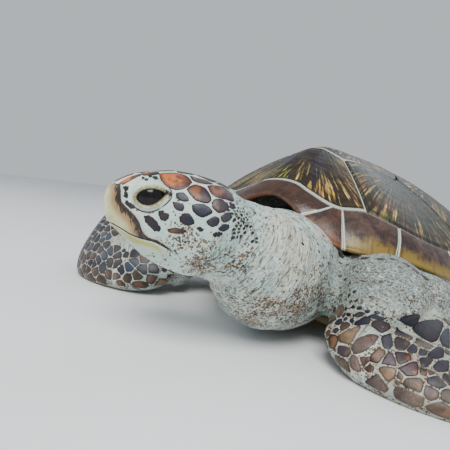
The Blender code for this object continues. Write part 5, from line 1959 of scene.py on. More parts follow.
# Large scales of the left front limb: tone, then x, y, z of each corner in the model's frame,
# in millimetres.
LIMB_PLATES = (
    (Tone.BROWN, (176.7, -456.9, 60.6, 185.7, -454.8, 68.3, 187.2, -458.8, 63.2, 181.2, -466.9, 54,
     177.3, -469.5, 49.5)),
    (Tone.TAN, (181.4, -472, 48.5, 186.2, -464.6, 57.6, 201.4, -461.2, 65.5, 203.5, -469.3, 57.8,
     195.3, -479.2, 43.8, 188.8, -479.2, 39.3)),
    (Tone.GREY, (200.2, -481.2, 42.9, 203.8, -473.3, 53.8, 215, -464.7, 61.5, 224.5, -462.4, 62.3,
     223.8, -470.1, 56, 217, -481.2, 44.9, 206.9, -484.4, 37.5)),
    (Tone.PLUM, (208.9, -463.6, 62.7, 209.2, -459.8, 69.4, 218.7, -458.2, 77.1, 229.8, -452.6, 76.2,
     229.2, -454.3, 70, 221.7, -460.7, 65.1)),
    (Tone.NAVY, (190.1, -455.8, 69, 201.1, -458.1, 76.5, 212.2, -458.8, 77.9, 209.3, -459.1, 72.7,
     196.5, -459.5, 66.6)),
    (Tone.NAVY, (189.2, -454.9, 75.1, 195.2, -457.5, 79.9, 200.7, -458.3, 81.5, 198.4, -457.6,
     77.5)),
    (Tone.NAVY, (207.8, -458.8, 80.2, 215.4, -458.3, 83.6, 225.2, -456, 83.3, 220.2, -457.9, 80.7)),
    (Tone.NAVY, (225.1, -467.2, 58.1, 231.1, -456.4, 65.6, 237.9, -453, 65, 240.3, -461.8, 57.9,
     238.1, -471.1, 50.8, 231.5, -473, 51)),
    (Tone.PLUM, (241.6, -458.6, 59.9, 244.8, -450.4, 64.6, 251.1, -444.4, 66.8, 255.6, -451.6, 61.1,
     253, -463.8, 53.2, 245.2, -464.9, 54.2)),
    (Tone.NAVY, (258.8, -457.3, 56.5, 261.4, -448.9, 61.3, 266.7, -447.4, 60.7, 267.1, -453.2, 56.9,
     261.8, -459, 54.5)),
    (Tone.NAVY, (268.6, -452.6, 56.8, 272.3, -445.4, 60.1, 276.3, -444.8, 59.2, 274.9, -453.1, 54.5,
     270.8, -457.6, 52.8)),
    (Tone.NAVY, (279.3, -446.4, 57.2, 281.3, -434.4, 63.1, 289.2, -431.4, 61.7, 290.6, -440.6, 56.5,
     285.2, -449.6, 53.2, 281.4, -450.3, 54.1)),
    (Tone.NAVY, (288.8, -456.7, 47.4, 292.4, -445.4, 53.2, 298.4, -442.5, 52.6, 299.9, -452.6, 46.1,
     293.8, -461, 42.6)),
    (Tone.NAVY, (299.4, -465.9, 36.6, 300.4, -457.2, 42.9, 303.6, -452.3, 44.9, 306.7, -462.5,
     36.6)),
    (Tone.NAVY, (238.7, -445.6, 84.1, 243.2, -438.8, 88.9, 250.8, -424.3, 91.3, 255.4, -410, 89.2,
     255.3, -413.4, 81.8, 251.2, -427.8, 76.5, 245.5, -436.1, 79.3)),
    (Tone.NAVY, (252.1, -428.7, 75.1, 255.8, -414.8, 80.8, 266.2, -397.3, 84.9, 278.9, -385.8, 84.2,
     280.7, -401.6, 77.9, 281, -423.3, 68.6, 276.5, -432.4, 65.8, 268.5, -433.8, 67.7, 256.8, -432.4,
     72)),
    (Tone.NAVY, (282.4, -417.7, 70.6, 283.1, -402.6, 76.5, 286.7, -389, 79.9, 295.6, -423.2, 63.1,
     287.7, -426, 64.9)),
    (Tone.BROWN, (226, -482.2, 41.9, 231.1, -474.7, 49.5, 238.9, -468.2, 53.1, 242.4, -470.9, 49.7,
     237, -481.4, 39.4, 228, -483.9, 38.3)),
    (Tone.RUST, (246.5, -470.6, 49, 252.7, -465.6, 51.8, 260, -462.9, 52.1, 263.6, -466.8, 48,
     257.4, -476, 41.1, 250.2, -475.8, 43)),
    (Tone.TAN, (238.1, -486.2, 30.3, 245.4, -481, 37.7, 254.5, -478.5, 38.9, 256, -484.1, 30.4,
     248.1, -488, 22.8, 241.9, -488, 23.7)),
    (Tone.RUST, (258.8, -478, 38.3, 264.9, -469.8, 45, 275.1, -464.6, 46.3, 276.1, -472.1, 39.4,
     268, -480.8, 32.2, 262, -481.7, 32.6)),
    (Tone.NAVY, (275, -459.1, 50.4, 279.5, -451.9, 53.8, 283.4, -454, 51.1, 280.2, -462.2, 46.4,
     277, -463.3, 46.7)),
    (Tone.BROWN, (211.6, -485.5, 35.1, 220.5, -483.3, 41.2, 224.8, -485.5, 35.7, 219.9, -487.5,
     29.5, 214, -487, 29.8)),
)


@dataclass
class Scales:
    """Every scale of the head, the nape and the limbs, as solid plates lying on the skin."""

    forms: Forms
    skin: bpy.types.Object
    border: float = 0.0017
    thick: float = 0.0006
    corners: int = 28
    lowest: float = 0.0035
    shoulder: tuple[float, float, float] = (0.262, -0.1, 0.072)

    def __post_init__(self) -> None:
        """Make the search tree and the random numbers."""
        self.tree = tree_of(self.skin)
        self.random = np.random.default_rng(41)
        self.finish = ScaleFinish().build()
        self.all_seeds: list[tuple[Seed, np.ndarray]] = []

    def seat(self, place: np.ndarray, axis: np.ndarray, turn: float, long: float, wide: float,
             tone: Tone, grow: float = 1.0, sand: float = 0.2) -> Union[Seed, None]:
        """Set a scale down on the nearest skin.

        Args:
            place: about where it is.
            axis: the direction that its turn counts from.
            turn: its turn in degrees.
            long: half length in metres.
            wide: half width in metres.
            tone: its colours.
            grow: how much larger the cell may be before its neighbours cut it.
            sand: how much sand sticks to it.

        Returns:
            The seed, or None where there is no skin near.
        """
        hit, normal, _, away = self.tree.find_nearest(Vector(place))
        if hit is None or away > 0.03:
            return None
        n = np.array(normal)
        first = axis - n * float(axis @ n)
        size = np.linalg.norm(first)
        if size < 0.05:
            return None
        first /= size
        second = np.cross(n, first)
        c, s = math.cos(math.radians(turn)), math.sin(math.radians(turn))
        return Seed(np.array(hit), n, first * c + second * s, second * c - first * s, long * grow,
                    wide * grow, tone, sand)

    def cell(self, seed: Seed, others: list[Seed]) -> np.ndarray:
        """Outline of a scale in its own plane, cut back from its neighbours and rounded.

        Args:
            seed: the scale.
            others: every seed of the same region.

        Returns:
            Corner points, or an empty array where nothing is left.
        """
        if seed.outline is not None and not seed.tiled:
            return self.rounded(seed.outline, 0.0001 if seed.tone is not Tone.BLACK else 0.0005,
                                ((0.14, 1),))
        turn = full_turn(20)
        power = 2 / 2.8
        shape = np.column_stack((np.sign(np.cos(turn)) * np.abs(np.cos(turn)) ** power * seed.long,
                                 np.sign(np.sin(turn)) * np.abs(np.sin(turn)) ** power * seed.wide))
        polygon = [tuple(p) for p in (shape if seed.outline is None else seed.outline)]
        for other in others:
            if other is seed:
                continue
            gap = other.place - seed.place
            if float(seed.normal @ other.normal) < 0.1:
                continue
            q = np.array((gap @ seed.first, gap @ seed.second))
            far = float(np.linalg.norm(q))
            if far < 1e-4 or far > 0.06:
                continue
            u = q / far
            way = seed.first * u[0] + seed.second * u[1]
            mine, theirs = seed.reach(way), other.reach(-way)
            firm = other.outline is not None and not other.tiled and seed.long > 0.0045
            if firm:
                theirs = other.support(-way)
            if mine + theirs + self.border < far:
                continue
            limit = far * mine / (mine + theirs) - self.border / 2
            if firm:
                limit = far - theirs - self.border
            cut = []
            for a, b in zip(polygon, polygon[1:] + polygon[:1]):
                da, db = a[0] * u[0] + a[1] * u[1] - limit, b[0] * u[0] + b[1] * u[1] - limit
                if da <= 0:
                    cut.append(a)
                if (da < 0 < db) or (db < 0 < da):
                    t = da / (da - db)
                    cut.append((a[0] + (b[0] - a[0]) * t, a[1] + (b[1] - a[1]) * t))
            polygon = cut
            if len(polygon) < 3:
                return np.zeros((0, 2))
        return self.rounded(np.array(polygon), 0.0001, ((0.16, 2),))

    def rounded(self, p: np.ndarray, ragged: float, ease: Rows) -> np.ndarray:
        """An outline with its corners eased, evenly spaced and a little ragged.

        Args:
            p: corner points.
            ragged: how far points stray, in metres.
            ease: share of each side cut off a corner, and how many times.

        Returns:
            Points of the outline, or an empty array where it is too small.
        """
        for part, times in ease:
            for _ in range(times):
                ahead = np.roll(p, -1, axis=0)
                p = np.stack((p * (1 - part) + ahead * part, p * part + ahead * (1 - part)),
                             1).reshape(-1, 2)
        closed = np.vstack((p, p[:1]))
        gone = lengths(closed)
        if gone[-1] < 0.004:
            return np.zeros((0, 2))
        want = np.linspace(0, gone[-1], self.corners + 1)[:-1]
        even = np.column_stack((np.interp(want, gone, closed[:, 0]),
                                np.interp(want, gone, closed[:, 1])))
        return even + self.random.standard_normal(even.shape) * ragged

    def build_group(self, name: str, seeds: list[Seed], unwrap: np.ndarray) -> bpy.types.Object:
        """One piece of many scales.

        Args:
            name: its name.
            seeds: the scales.
            unwrap: where each scale's root lies on the unwrap of the skin, one (u, v) a row.

        Returns:
            The piece.
        """
        points, faces, uv = [], [], []
        rim, middle, border, warm, share, sand = [], [], [], [], [], []
        levels = ((1.0, -0.0007, 1.0), (1.0, 0.0001, 1.0), (0.965, 0.55, 0.95), (0.86, 0.86, 0.75),
                  (0.50, 1.0, 0.35))
        n = self.corners
        amount = len(levels) * n + 2
        wall = ring_faces(len(levels), n, caps=False)
        for seed, root in zip(seeds, unwrap):
            outline = self.cell(seed, seeds)
            if not len(outline):
                continue
            heart = outline.mean(0)
            start = len(points)
            centre, dark, bright, part = seed.tone.value
            part += 0.12 * float(self.random.standard_normal())
            size = float(np.abs(outline - heart).max())
            thick = self.thick * min(1.0, size / 0.006)
            for shrink, lift, edge in levels:
                for corner in outline:
                    flat = heart + (corner - heart) * shrink
                    at = seed.place + seed.first * flat[0] + seed.second * flat[1]
                    hit, normal, _, _ = self.tree.ray_cast(Vector(at + seed.normal * 0.012),
                                                           Vector(-seed.normal), 0.03)
                    if hit is None:
                        hit, normal, _, _ = self.tree.find_nearest(Vector(at))
                    raised = lift if abs(lift) < 0.01 else thick * lift
                    points.append(np.array(hit) + (np.array(normal) * 0.5 + seed.normal * 0.5) * raised)
                    rim.append(edge)
                    share.append(part + 0.45 * (flat[0] - heart[0]) / max(size, 1e-6))
                    uv.append(root + (flat - heart) / max(size, 1e-6) * 0.0015)
            for lift, edge in ((1.02, 0.2), (-0.5, 1.0)):
                at = seed.place + seed.first * heart[0] + seed.second * heart[1]
                hit = self.tree.find_nearest(Vector(at))[0]
                points.append(np.array(hit) + seed.normal * thick * lift)
                rim.append(edge)
                share.append(part)
                uv.append(root)
            top, low = start + amount - 2, start + amount - 1
            faces += [[start + i for i in face] for face in wall]
            faces += fan(start + (len(levels) - 1) * n, n, top) + fan(start, n, low, turned=True)
            vary = 1 + 0.25 * self.random.standard_normal()
            vary = min(max(vary, 0.6), 1.5)
            middle += [[c * vary for c in centre] + [1.0]] * amount
            border += [list(dark) + [1.0]] * amount
            warm += [[c * vary for c in bright] + [1.0]] * amount
            sand += [seed.sand] * amount
            self.all_seeds.append((seed, outline))
        body = np.array(points)
        body[:, 2] = np.maximum(body[:, 2], 0.0)
        item = new_piece(name, body, faces, self.finish, turn_out=False)
        for key, values in (("rim", rim), ("middle", middle), ("border", border), ("warm", warm),
                            ("share", share), ("sand", sand)):
            paint(item, key, np.array(values))
        layer = item.data.uv_layers.new(name="OFBake")
        corner = np.zeros(len(item.data.loops), np.int32)
        item.data.loops.foreach_get("vertex_index", corner)
        layer.data.foreach_set("uv", np.array(uv, np.float32)[corner].ravel())
        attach(item, "root")
        LOG.info("%s: %d scales, %d vertices", name, len(points) // amount, len(points))
        return item

    def head_seeds(self) -> list[Seed]:
        """Seeds of the head: the sides, mirrored, the crown and the nape's dots.

        Returns:
            The seeds.
        """
        head = self.forms.head
        axis = head.matrix()[:3, 0]
        seeds = []
        for tone, numbers in HEAD_PLATES:
            local = np.array(numbers).reshape(-1, 3) / 1000
            seeds.append(self.plate(head.out(local), axis, tone, 0.10, 0.0012))
            local = local * (1, -1, 1) + 0.0012 * self.random.standard_normal(local.shape)
            seeds.append(self.plate(head.out(local), axis, tone, 0.10, 0.0008))
        for x, y, long, wide, tone in CROWN_SCALES:
            for side in ((1, -1) if y > 0 else (1,)):
                seeds.append(self.seat(head.out((x, y * side, 0.05)), axis, 0, long / 770,
                                       wide / 770, tone, 1.2, 0.12))
        dots: list[np.ndarray] = []
        for _ in range(260):
            x, z = self.random.uniform((-0.096, -0.036), (-0.057, 0.014))
            spot = np.array((x, z))
            size = 0.0026 - 0.022 * (-0.057 - x)
            if z < -0.010 - (x + 0.057) * 0.8 and x > -0.064 or any(
                    np.linalg.norm(spot - dot) < 0.0040 + 0.035 * (-0.057 - x) for dot in dots):
                continue
            dots.append(spot)
            for side in (1, -1):
                place = head.out((x, 0.062 * side, z - 0.004))
                seeds.append(self.seat(place, axis, 30 * side, size * 1.3, size * 0.85, Tone.BLACK,
                                       1.0, 0.1))
        return [seed for seed in seeds if seed]

    def plate(self, corners: np.ndarray, axis: np.ndarray, tone: Tone, sand: float,
              grow: float) -> Union[Seed, None]:
        """A large scale with an outline of its own.

        Args:
            corners: its corners in the model's frame.
            axis: the direction that its gradient follows.
            tone: its colours.
            sand: how much sand sticks to it.
            grow: how far its corners are pushed out, in metres.

        Returns:
            The seed.
        """
        seed = self.seat(corners.mean(0), axis, 0, 1.0, 1.0, tone, 1.0, sand)
        if seed is None:
            return None
        off = corners - seed.place
        flat = np.column_stack((off @ seed.first, off @ seed.second))
        ahead = np.roll(flat, -1, axis=0)
        if float((flat[:, 0] * ahead[:, 1] - flat[:, 1] * ahead[:, 0]).sum()) < 0:
            flat = flat[::-1]
        middle = flat.mean(0)
        away = np.linalg.norm(flat - middle, axis=1)[:, None]
        seed.long, seed.wide = (float(v) for v in np.ptp(flat, axis=0) / 2)
        seed.tiled = grow > 0.002 and max(seed.long, seed.wide) < 0.0165
        grow = grow if seed.tiled else min(grow, 0.0010)
        seed.outline = middle + (flat - middle) * (1 + grow / away)
        return seed

    def pick(self, *tones: Tone) -> Tone:
        """One of some tones by chance."""
        return tones[int(self.random.integers(len(tones)))]

    def blade_seeds(self, stations: Rows, side: int, taken: list[Seed], start: float,
                    pitch: float = 0.0155) -> list[Seed]:
        """Rows of scales over both faces of a flipper.

        Args:
            stations: the flipper's stations.
            side: 1 for the left, -1 for the right.
            taken: scales that are already there.
            start: the share of the length where the rows start.
            pitch: distance between rows.

        Returns:
            The new seeds.
        """
        fine = catmull(from_nuchal(stations, side, (0, 3)), 12)
        lead, trail = fine[:, :3], fine[:, 3:6]
        middle = (lead + trail) / 2
        gone = lengths(middle)
        seeds = []
        count = int(gone[-1] * (1 - start) / pitch)

        def section(i: int, face: int) -> tuple[np.ndarray, float, np.ndarray, np.ndarray]:
            """Directions at one section.

            Args:
                i: the section.
                face: 1 for the upper face, -1 for the lower one.

            Returns:
                The chord, its length, the way along and the way out of the face.
            """
            chord = trail[i] - lead[i]
            width = float(np.linalg.norm(chord))
            ahead = middle[i + 1] - middle[i - 1]
            ahead /= np.linalg.norm(ahead)
            return chord, width, ahead, np.cross(chord / width, ahead) * face

        def fits(seed: Union[Seed, None], out: np.ndarray) -> bool:
            """Tell whether a scale has a fair place.

            Args:
                seed: the scale.
                out: the way out of the face it is meant for.

            Returns:
                True if it is on that face, off the ground and clear of the shoulder.
            """
            if seed is None or float(seed.normal @ out) < -0.2 or seed.place[2] < self.lowest:
                return False
            x, y, z = self.shoulder
            return not (seed.place[0] * side < x and seed.place[2] > z and seed.place[1] < y)

        for face in (1, -1):
            for k in range(count):
                at = gone[-1] * start + (k + 0.5) * pitch
                i = int(np.clip(np.searchsorted(gone, at), 1, len(gone) - 2))
                chord, width, ahead, out = section(i, face)
                across = max(2, int(round(width / 0.0150)))
                for m in range(across + 1):
                    c = m / across
                    spread = 0.0 if m in (0, across) else 0.0028
                    shift = self.random.standard_normal(2) * spread
                    if (m + k) % 2 and m not in (0, across):
                        shift[0] += pitch * 0.3
                    c_at = min(max(0.03 + 0.94 * c + shift[1] / width, 0.02), 0.97)
                    place = lead[i] + chord * c_at + ahead * shift[0] + out * fine[i, 6] * 0.4
                    long, wide = 0.0105, 0.0095
                    tone = self.pick(Tone.NAVY, Tone.PLUM, Tone.NAVY, Tone.BLUE)
                    if m == 0:
                        if k % 2:
                            continue
                        long, wide = 0.0165, 0.0090
                        tone = self.pick(Tone.TAN, Tone.BROWN, Tone.GREY)
                    elif m == 1:
                        tone = self.pick(Tone.GREY, Tone.BROWN, Tone.PLUM)
                    elif m == across:
                        long, wide = 0.0090, 0.0125
                    grit = 0.9 if face < 0 else 0.9 - 0.8 * c if side > 0 else 0.25
                    seed = self.seat(place, ahead, 0, long, wide, tone, 1.0, grit)
                    if not fits(seed, out) or any(self.covers(other, seed) for other in taken):
                        continue
                    if not any(np.linalg.norm(seed.place - other.place) < 0.45 * (long + other.wide)
                               and float(seed.normal @ other.normal) > 0.3
                               for other in taken + seeds):
                        seeds.append(seed)
        for _ in range(1500):
            i = int((start + (0.99 - start) * self.random.random()) * (len(gone) - 2)) + 1
            c, face = self.random.uniform(0.02, 0.97), (1, -1)[int(self.random.integers(2))]
            chord, _, ahead, out = section(i, face)
            place = lead[i] + chord * c + out * fine[i, 6] * 0.4
            seed = self.seat(place, ahead, 0, 0.004, 0.004, Tone.BROWN if c < 0.3 else Tone.NAVY,
                             1.0, 0.9 - 0.7 * c if side > 0 else 0.25)
            if not fits(seed, out):
                continue
            room = self.room(seed, taken + seeds)
            if room > 0.0026:
                seed.long = seed.wide = min(0.0066, room + 0.0006)
                seeds.append(seed)
        return seeds

    def room(self, seed: Seed, others: list[Seed]) -> float:
        """Distance from a seed to the nearest edge of the others.

        Args:
            seed: the seed.
            others: scales that are already there.

        Returns:
            The distance in metres, 0.01 at most.
        """
        near = [other for other in others if abs(other.place[0] - seed.place[0]) < 0.03
                and abs(other.place[1] - seed.place[1]) < 0.03
                and float(other.normal @ seed.normal) > 0]
        gaps = [0.01]
        for other in near:
            off = seed.place - other.place
            off -= other.normal * float(off @ other.normal)
            size = max(float(np.linalg.norm(off)), 1e-6)
            gaps.append(size - other.reach(off / size) if size > 1e-4 else 0.0)
        return min(gaps)

    def covers(self, plate: Seed, seed: Seed) -> bool:
        """Whether a seed lies inside, or almost inside, a large scale.

        Args:
            plate: the large scale.
            seed: the seed.

        Returns:
            True if it does.
        """
        off = seed.place - plate.place
        if plate.outline is None or float(np.linalg.norm(off)) > 0.035:
            return False
        flat = np.array(((off @ plate.first, off @ plate.second),))
        return bool(signed_distance(flat, plate.outline)[0] < 0.0010)

    def unwrap_of(self, seeds: list[Seed], centre: np.ndarray, axis: np.ndarray) -> np.ndarray:
        """A cylinder-like unwrap of scale roots: along an axis and round it.

        Args:
            seeds: the scales.
            centre: a place on the axis.
            axis: the direction of the axis.

        Returns:
            One (u, v) a row.
        """
        axis = axis / np.linalg.norm(axis)
        side = np.cross(axis, (0, 0, 1.0))
        side /= np.linalg.norm(side)
        up = np.cross(side, axis)
        off = np.array([seed.place for seed in seeds]) - centre
        u = off @ axis
        v = np.arctan2(off @ up, off @ side)
        u = (u - u.min()) / max(float(np.ptp(u)), 1e-6)
        return np.column_stack((0.02 + 0.96 * u, 0.02 + 0.96 * (v + np.pi) / (2 * np.pi)))

    def mark_skin(self) -> None:
        """Give the skin under each scale the scale's colour."""
        points = places(self.skin)
        tree = KDTree(len(points))
        for i, p in enumerate(points):
            tree.insert(Vector(p), i)
        tree.balance()
        covered = np.zeros(len(points))
        colour = np.ones((len(points), 4)) * (0.03, 0.03, 0.04, 1.0)
        for seed, outline in self.all_seeds:
            size = float(np.linalg.norm(outline, axis=1).max())
            near = [index for _, index, _ in tree.find_range(Vector(seed.place), size)]
            if not near:
                continue
            off = points[near] - seed.place
            flat = np.column_stack((off @ seed.first, off @ seed.second))
            d = signed_distance(flat, outline)
            inside = smooth_step(-0.0004, -0.0016, d)
            covered[near] = np.maximum(covered[near], inside)
            colour[near, :3] = np.where((inside > 0)[:, None], np.array(seed.tone.value[1]) * 1.2,
                                        colour[near, :3])
        paint(self.skin, "covered", covered)
        paint(self.skin, "under", colour)

    def build(self) -> list[bpy.types.Object]:
        """Build every group of scales.

        Returns:
            The pieces.
        """
        head = self.forms.head
        seeds = self.head_seeds()
        pieces = [self.build_group("scales_head", seeds, self.unwrap_of(
            seeds, head.out(np.array((0.0, 0.0, -0.015))), head.matrix()[:3, 0]))]
        for side, label in ((1, "left"), (-1, "right")):
            level = np.array((1.0, 0, 0))
            taken = [self.seat(np.array((x * side, y, z)), level, turn * side, long / 1000,
                               wide / 1000, Tone.BLACK, 1.0, 0.4)
                     for x, y, z, long, wide, turn in LIMB_DOTS]
            if side > 0:
                taken += [self.plate(np.array(numbers).reshape(-1, 3) / 1000, level, tone,
                                     0.12 if tone in (Tone.NAVY, Tone.PLUM) else 0.65, 0.0034)
                          for tone, numbers in LIMB_PLATES]
            taken = [seed for seed in taken if seed]
            front = LEFT_FLIPPER if side > 0 else RIGHT_FLIPPER
            more = self.blade_seeds(front, side, taken, 0.01)
            group = taken + more
            middle = np.array((0.30 * side, -0.06 - REST_Y, 0.04))
            pieces.append(self.build_group(f"scales_front_{label}", group, self.unwrap_of(
                group, middle, np.array((0.8 * side, 0.6, 0.0)))))
            group = self.blade_seeds(HIND_FLIPPER, side, [], 0.25)
            middle = np.array((0.17 * side, 0.72 - REST_Y, 0.02))
            pieces.append(self.build_group(f"scales_hind_{label}", group, self.unwrap_of(
                group, middle, np.array((0.4 * side, 0.9, 0.0)))))
        self.mark_skin()
        return pieces


# ---- Beak, eyes, claws, plastron and granules ----
@dataclass(frozen=True)
class BeakFinish:
    """Horn of the beak: ivory, tan towards the cheek, with fine dark streaks along its rear edge and
    painted shade in the nostrils.
    """

    name: str = "beak_horn"

    def build(self) -> bpy.types.Material:
        """Write the material.

        Returns:
            The material.
        """
        s = Shade(self.name, 0.35)
        place = s.place()
        back = s.read("back")
        low = s.read("low")
        streak = s.noise(s.scaled(s.read("grain", "Vector"), (60.0, 420.0, 420.0)), 1.0, 3.0, 0.62)
        cloud = s.noise(place, 70.0, 3.0, 0.6)
        fine = s.noise(place, 460.0, 3.0, 0.6)
        base = s.mix(s.step(cloud, 0.38, 0.68), (0.600, 0.590, 0.330), (0.480, 0.430, 0.200))
        base = s.mix(s.step(s.read("front"), 0.008, 0.002) * 0.6, base, (0.700, 0.700, 0.560))
        base = s.mix(s.step(back + (cloud - 0.5) * 0.008, 0.0190, 0.0110) * 0.85, base,
                     (0.270, 0.150, 0.060))
        dark = s.step(back + (streak - 0.5) * 0.016, 0.0108, 0.0070) \
            * s.step(streak + (cloud - 0.5) * 0.3, 0.20, 0.40) * s.step(low, 0.002, 0.0)
        base = s.mix(dark * 0.96, base, (0.012, 0.008, 0.012))
        base = s.mix(s.step(back + (streak - 0.5) * 0.002, 0.0021, 0.0009) * 0.8, base,
                     (0.560, 0.600, 0.500))
        jaw = s.mix(s.step(low + (cloud - 0.5) * 0.004, 0.0022, 0.0042), (0.620, 0.640, 0.560),
                    (0.400, 0.410, 0.120))
        front = s.read("front") + (cloud - 0.5) * 0.012
        jaw = s.mix(s.math("MAXIMUM", s.step(low + (cloud - 0.5) * 0.006, 0.0070, 0.0110),
                           s.step(front, 0.060, 0.073)), jaw, (0.450, 0.540, 0.470))
        base = s.mix(s.step(low, 0.0002, 0.0004), base, jaw)
        base = s.mix(s.step(streak, 0.60, 0.74) * 0.35, base, (0.260, 0.180, 0.090))
        base = s.mix(s.step(fine, 0.60, 0.75) * 0.25, base, (0.300, 0.230, 0.120))
        # Painted shade: a near-black spot where the nostril openings sit.
        base = s.mix(s.step(s.read("nostril"), 0.0042, 0.0026), base, (0.010, 0.008, 0.008))
        return s.finish(base, s.step(fine, 0.2, 0.8, 0.28, 0.46), streak + fine * 0.5, 0.0006, 0.5,
                        Specular_IOR_Level=0.35)


@dataclass(frozen=True)
class EyeFinish:
    """Wet dark eye with a faint brown iris round a black pupil."""

    name: str = "wet_eye"

    def build(self) -> bpy.types.Material:
        """Write the material.

        Returns:
            The material.
        """
        s = Shade(self.name, 0.06)
        out = s.read("out")
        spoke = s.noise(s.scaled(s.read("spoke", "Vector"), (14.0, 14.0, 3.0)), 1.0, 3.0, 0.6)
        iris = s.step(out, 0.24, 0.32) * s.step(out, 0.48, 0.40)
        base = s.mix(iris * 0.3, (0.004, 0.004, 0.005), (0.014, 0.010, 0.007))
        base = s.mix(iris * s.step(spoke, 0.45, 0.65) * 0.2, base, (0.026, 0.018, 0.011))
        base = s.mix(s.step(out, 0.46, 0.60) * 0.6, base, (0.009, 0.008, 0.009))
        wet = s.step(spoke, 0.2, 0.8, 0.10, 0.16)
        return s.finish(base, wet, spoke, 0.0002, 0.15, Coat_Weight=0.12, Coat_Roughness=0.02,
                        Specular_IOR_Level=0.18)


@dataclass(frozen=True)
class ClawFinish:
    """Dull brown horn, darker at the root, with lines along it."""

    name: str = "claw_horn"

    def build(self) -> bpy.types.Material:
        """Write the material.

        Returns:
            The material.
        """
        s = Shade(self.name, 0.4)
        along = s.read("along")
        line = s.noise(s.scaled(s.place(), (420.0, 420.0, 90.0)), 1.0, 3.0, 0.6)
        base = s.mix(s.step(along, 0.2, 0.9), (0.120, 0.075, 0.045), (0.420, 0.330, 0.190))
        base = s.mix(s.step(line, 0.50, 0.70) * 0.5, base, (0.060, 0.040, 0.028))
        return s.finish(base, s.step(line, 0.2, 0.8, 0.32, 0.5), line, 0.0004, 0.5)


BEAK_TOP = ((0.0960, 0.0290), (0.0760, 0.0250), (0.0640, 0.0240), (0.0628, 0.0150),
            (0.0625, 0.0060), (0.0585, 0.0005), (0.0541, -0.0035), (0.0463, -0.0115),
            (0.0418, -0.0197), (0.0385, -0.0290), (0.0330, -0.0345), (0.0240, -0.0372),
            (0.0130, -0.0440))
BEAK_LOW = ((0.0150, -0.0560), (0.0300, -0.0540), (0.0400, -0.0600), (0.0420, -0.0760),
            (0.0960, -0.0600))
BEAK_MOUTH = ((0.0960, -0.0165), (0.0880, -0.0180), (0.0794, -0.0203), (0.0729, -0.0228),
              (0.0640, -0.0275), (0.0551, -0.0326), (0.0470, -0.0358), (0.0393, -0.0380),
              (0.0291, -0.0402), (0.0210, -0.0440), (0.0136, -0.0482))


@dataclass
class Beak:
    """The two horny sheaths of the beak, each standing a little proud of the skin."""

    forms: Forms
    proud: float = 0.0009
    parting: float = 0.0019

    def build_half(self, name: str, outline: list[tuple[float, float]],
                   finish: bpy.types.Material) -> bpy.types.Object:
        """One sheath: the swollen head form cut by a side outline.

        Args:
            name: the CAD node that it stands for.
            outline: the (x, z) loop of its side view.
            finish: its material.

        Returns:
            The sheath.
        """
        rings = self.forms.head_rings(self.proud, 8, 112)
        keep = rings[:, 0, 0] > -0.03
        rings = rings[keep]
        form = new_piece(f"{name}_sheath", rings.reshape(-1, 3),
                         ring_faces(len(rings), rings.shape[1]), None)
        count = len(outline)
        points = [(x, -0.09, z) for x, z in outline] + [(x, 0.09, z) for x, z in outline]
        faces = [list(range(count)), [count + i for i in range(count)]]
        faces += [[i, (i + 1) % count, count + (i + 1) % count, count + i] for i in range(count)]
        wedge = new_piece("wedge", np.array(points), faces, None)
        step = form.modifiers.new("cut", "BOOLEAN")
        step.operation = "INTERSECT"
        step.solver = "EXACT"
        step.object = wedge
        result = settle(form, f"{name}_sheath")
        bpy.data.objects.remove(wedge)
        body = bmesh.new()
        body.from_mesh(result)
        bmesh.ops.remove_doubles(body, verts=body.verts[:], dist=0.00003)
        bmesh.ops.recalc_face_normals(body, faces=body.faces[:])
        body.to_mesh(result)
        body.free()
        local = places(form)
        rear = catmull(np.array(BEAK_TOP)[2:], 3)
        mouth = np.array(BEAK_MOUTH)
        gap = np.min([np.linalg.norm(local - np.array(NOSTRIL) * (1, side, 1), axis=1)
                      for side in (1, -1)], axis=0)
        local[:, 0] -= 0.0014 * np.exp(-(gap / 0.0022) ** 2)
        paint(form, "nostril", gap)
        paint(form, "back", path_distance(local[:, (0, 2)], rear)[0])
        away = path_distance(local[:, (0, 2)], mouth)[0]
        paint(form, "low", away + 0.001 if name == "beak_lower" else np.zeros(len(local)))
        paint(form, "grain", local[:, (2, 0, 1)])
        paint(form, "front", 0.0870 - local[:, 0])
        place_all(form, self.forms.head.out(local))
        result.shade_smooth()
        result.set_sharp_from_angle(angle=math.radians(38))
        result.materials.clear()
        result.materials.append(finish)
        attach(form, "root")
        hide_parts(name)
        return form

    def build(self) -> list[bpy.types.Object]:
        """Build both sheaths.

        Returns:
            The two pieces.
        """
        finish = BeakFinish().build()
        half = self.parting / 2
        mouth = [tuple(p) for p in catmull(np.array(BEAK_MOUTH), 3)]
        upper = [(x, z + half) for x, z in reversed(mouth)]
        lower = [(x, z - half) for x, z in mouth]
        rear = [tuple(p) for p in catmull(np.array(BEAK_TOP), 3)]
        pieces = [self.build_half("beak_upper", rear + upper, finish),
                  self.build_half("beak_lower", lower + list(BEAK_LOW), finish)]
        LOG.info("beak: %d sheaths", len(pieces))
        return pieces


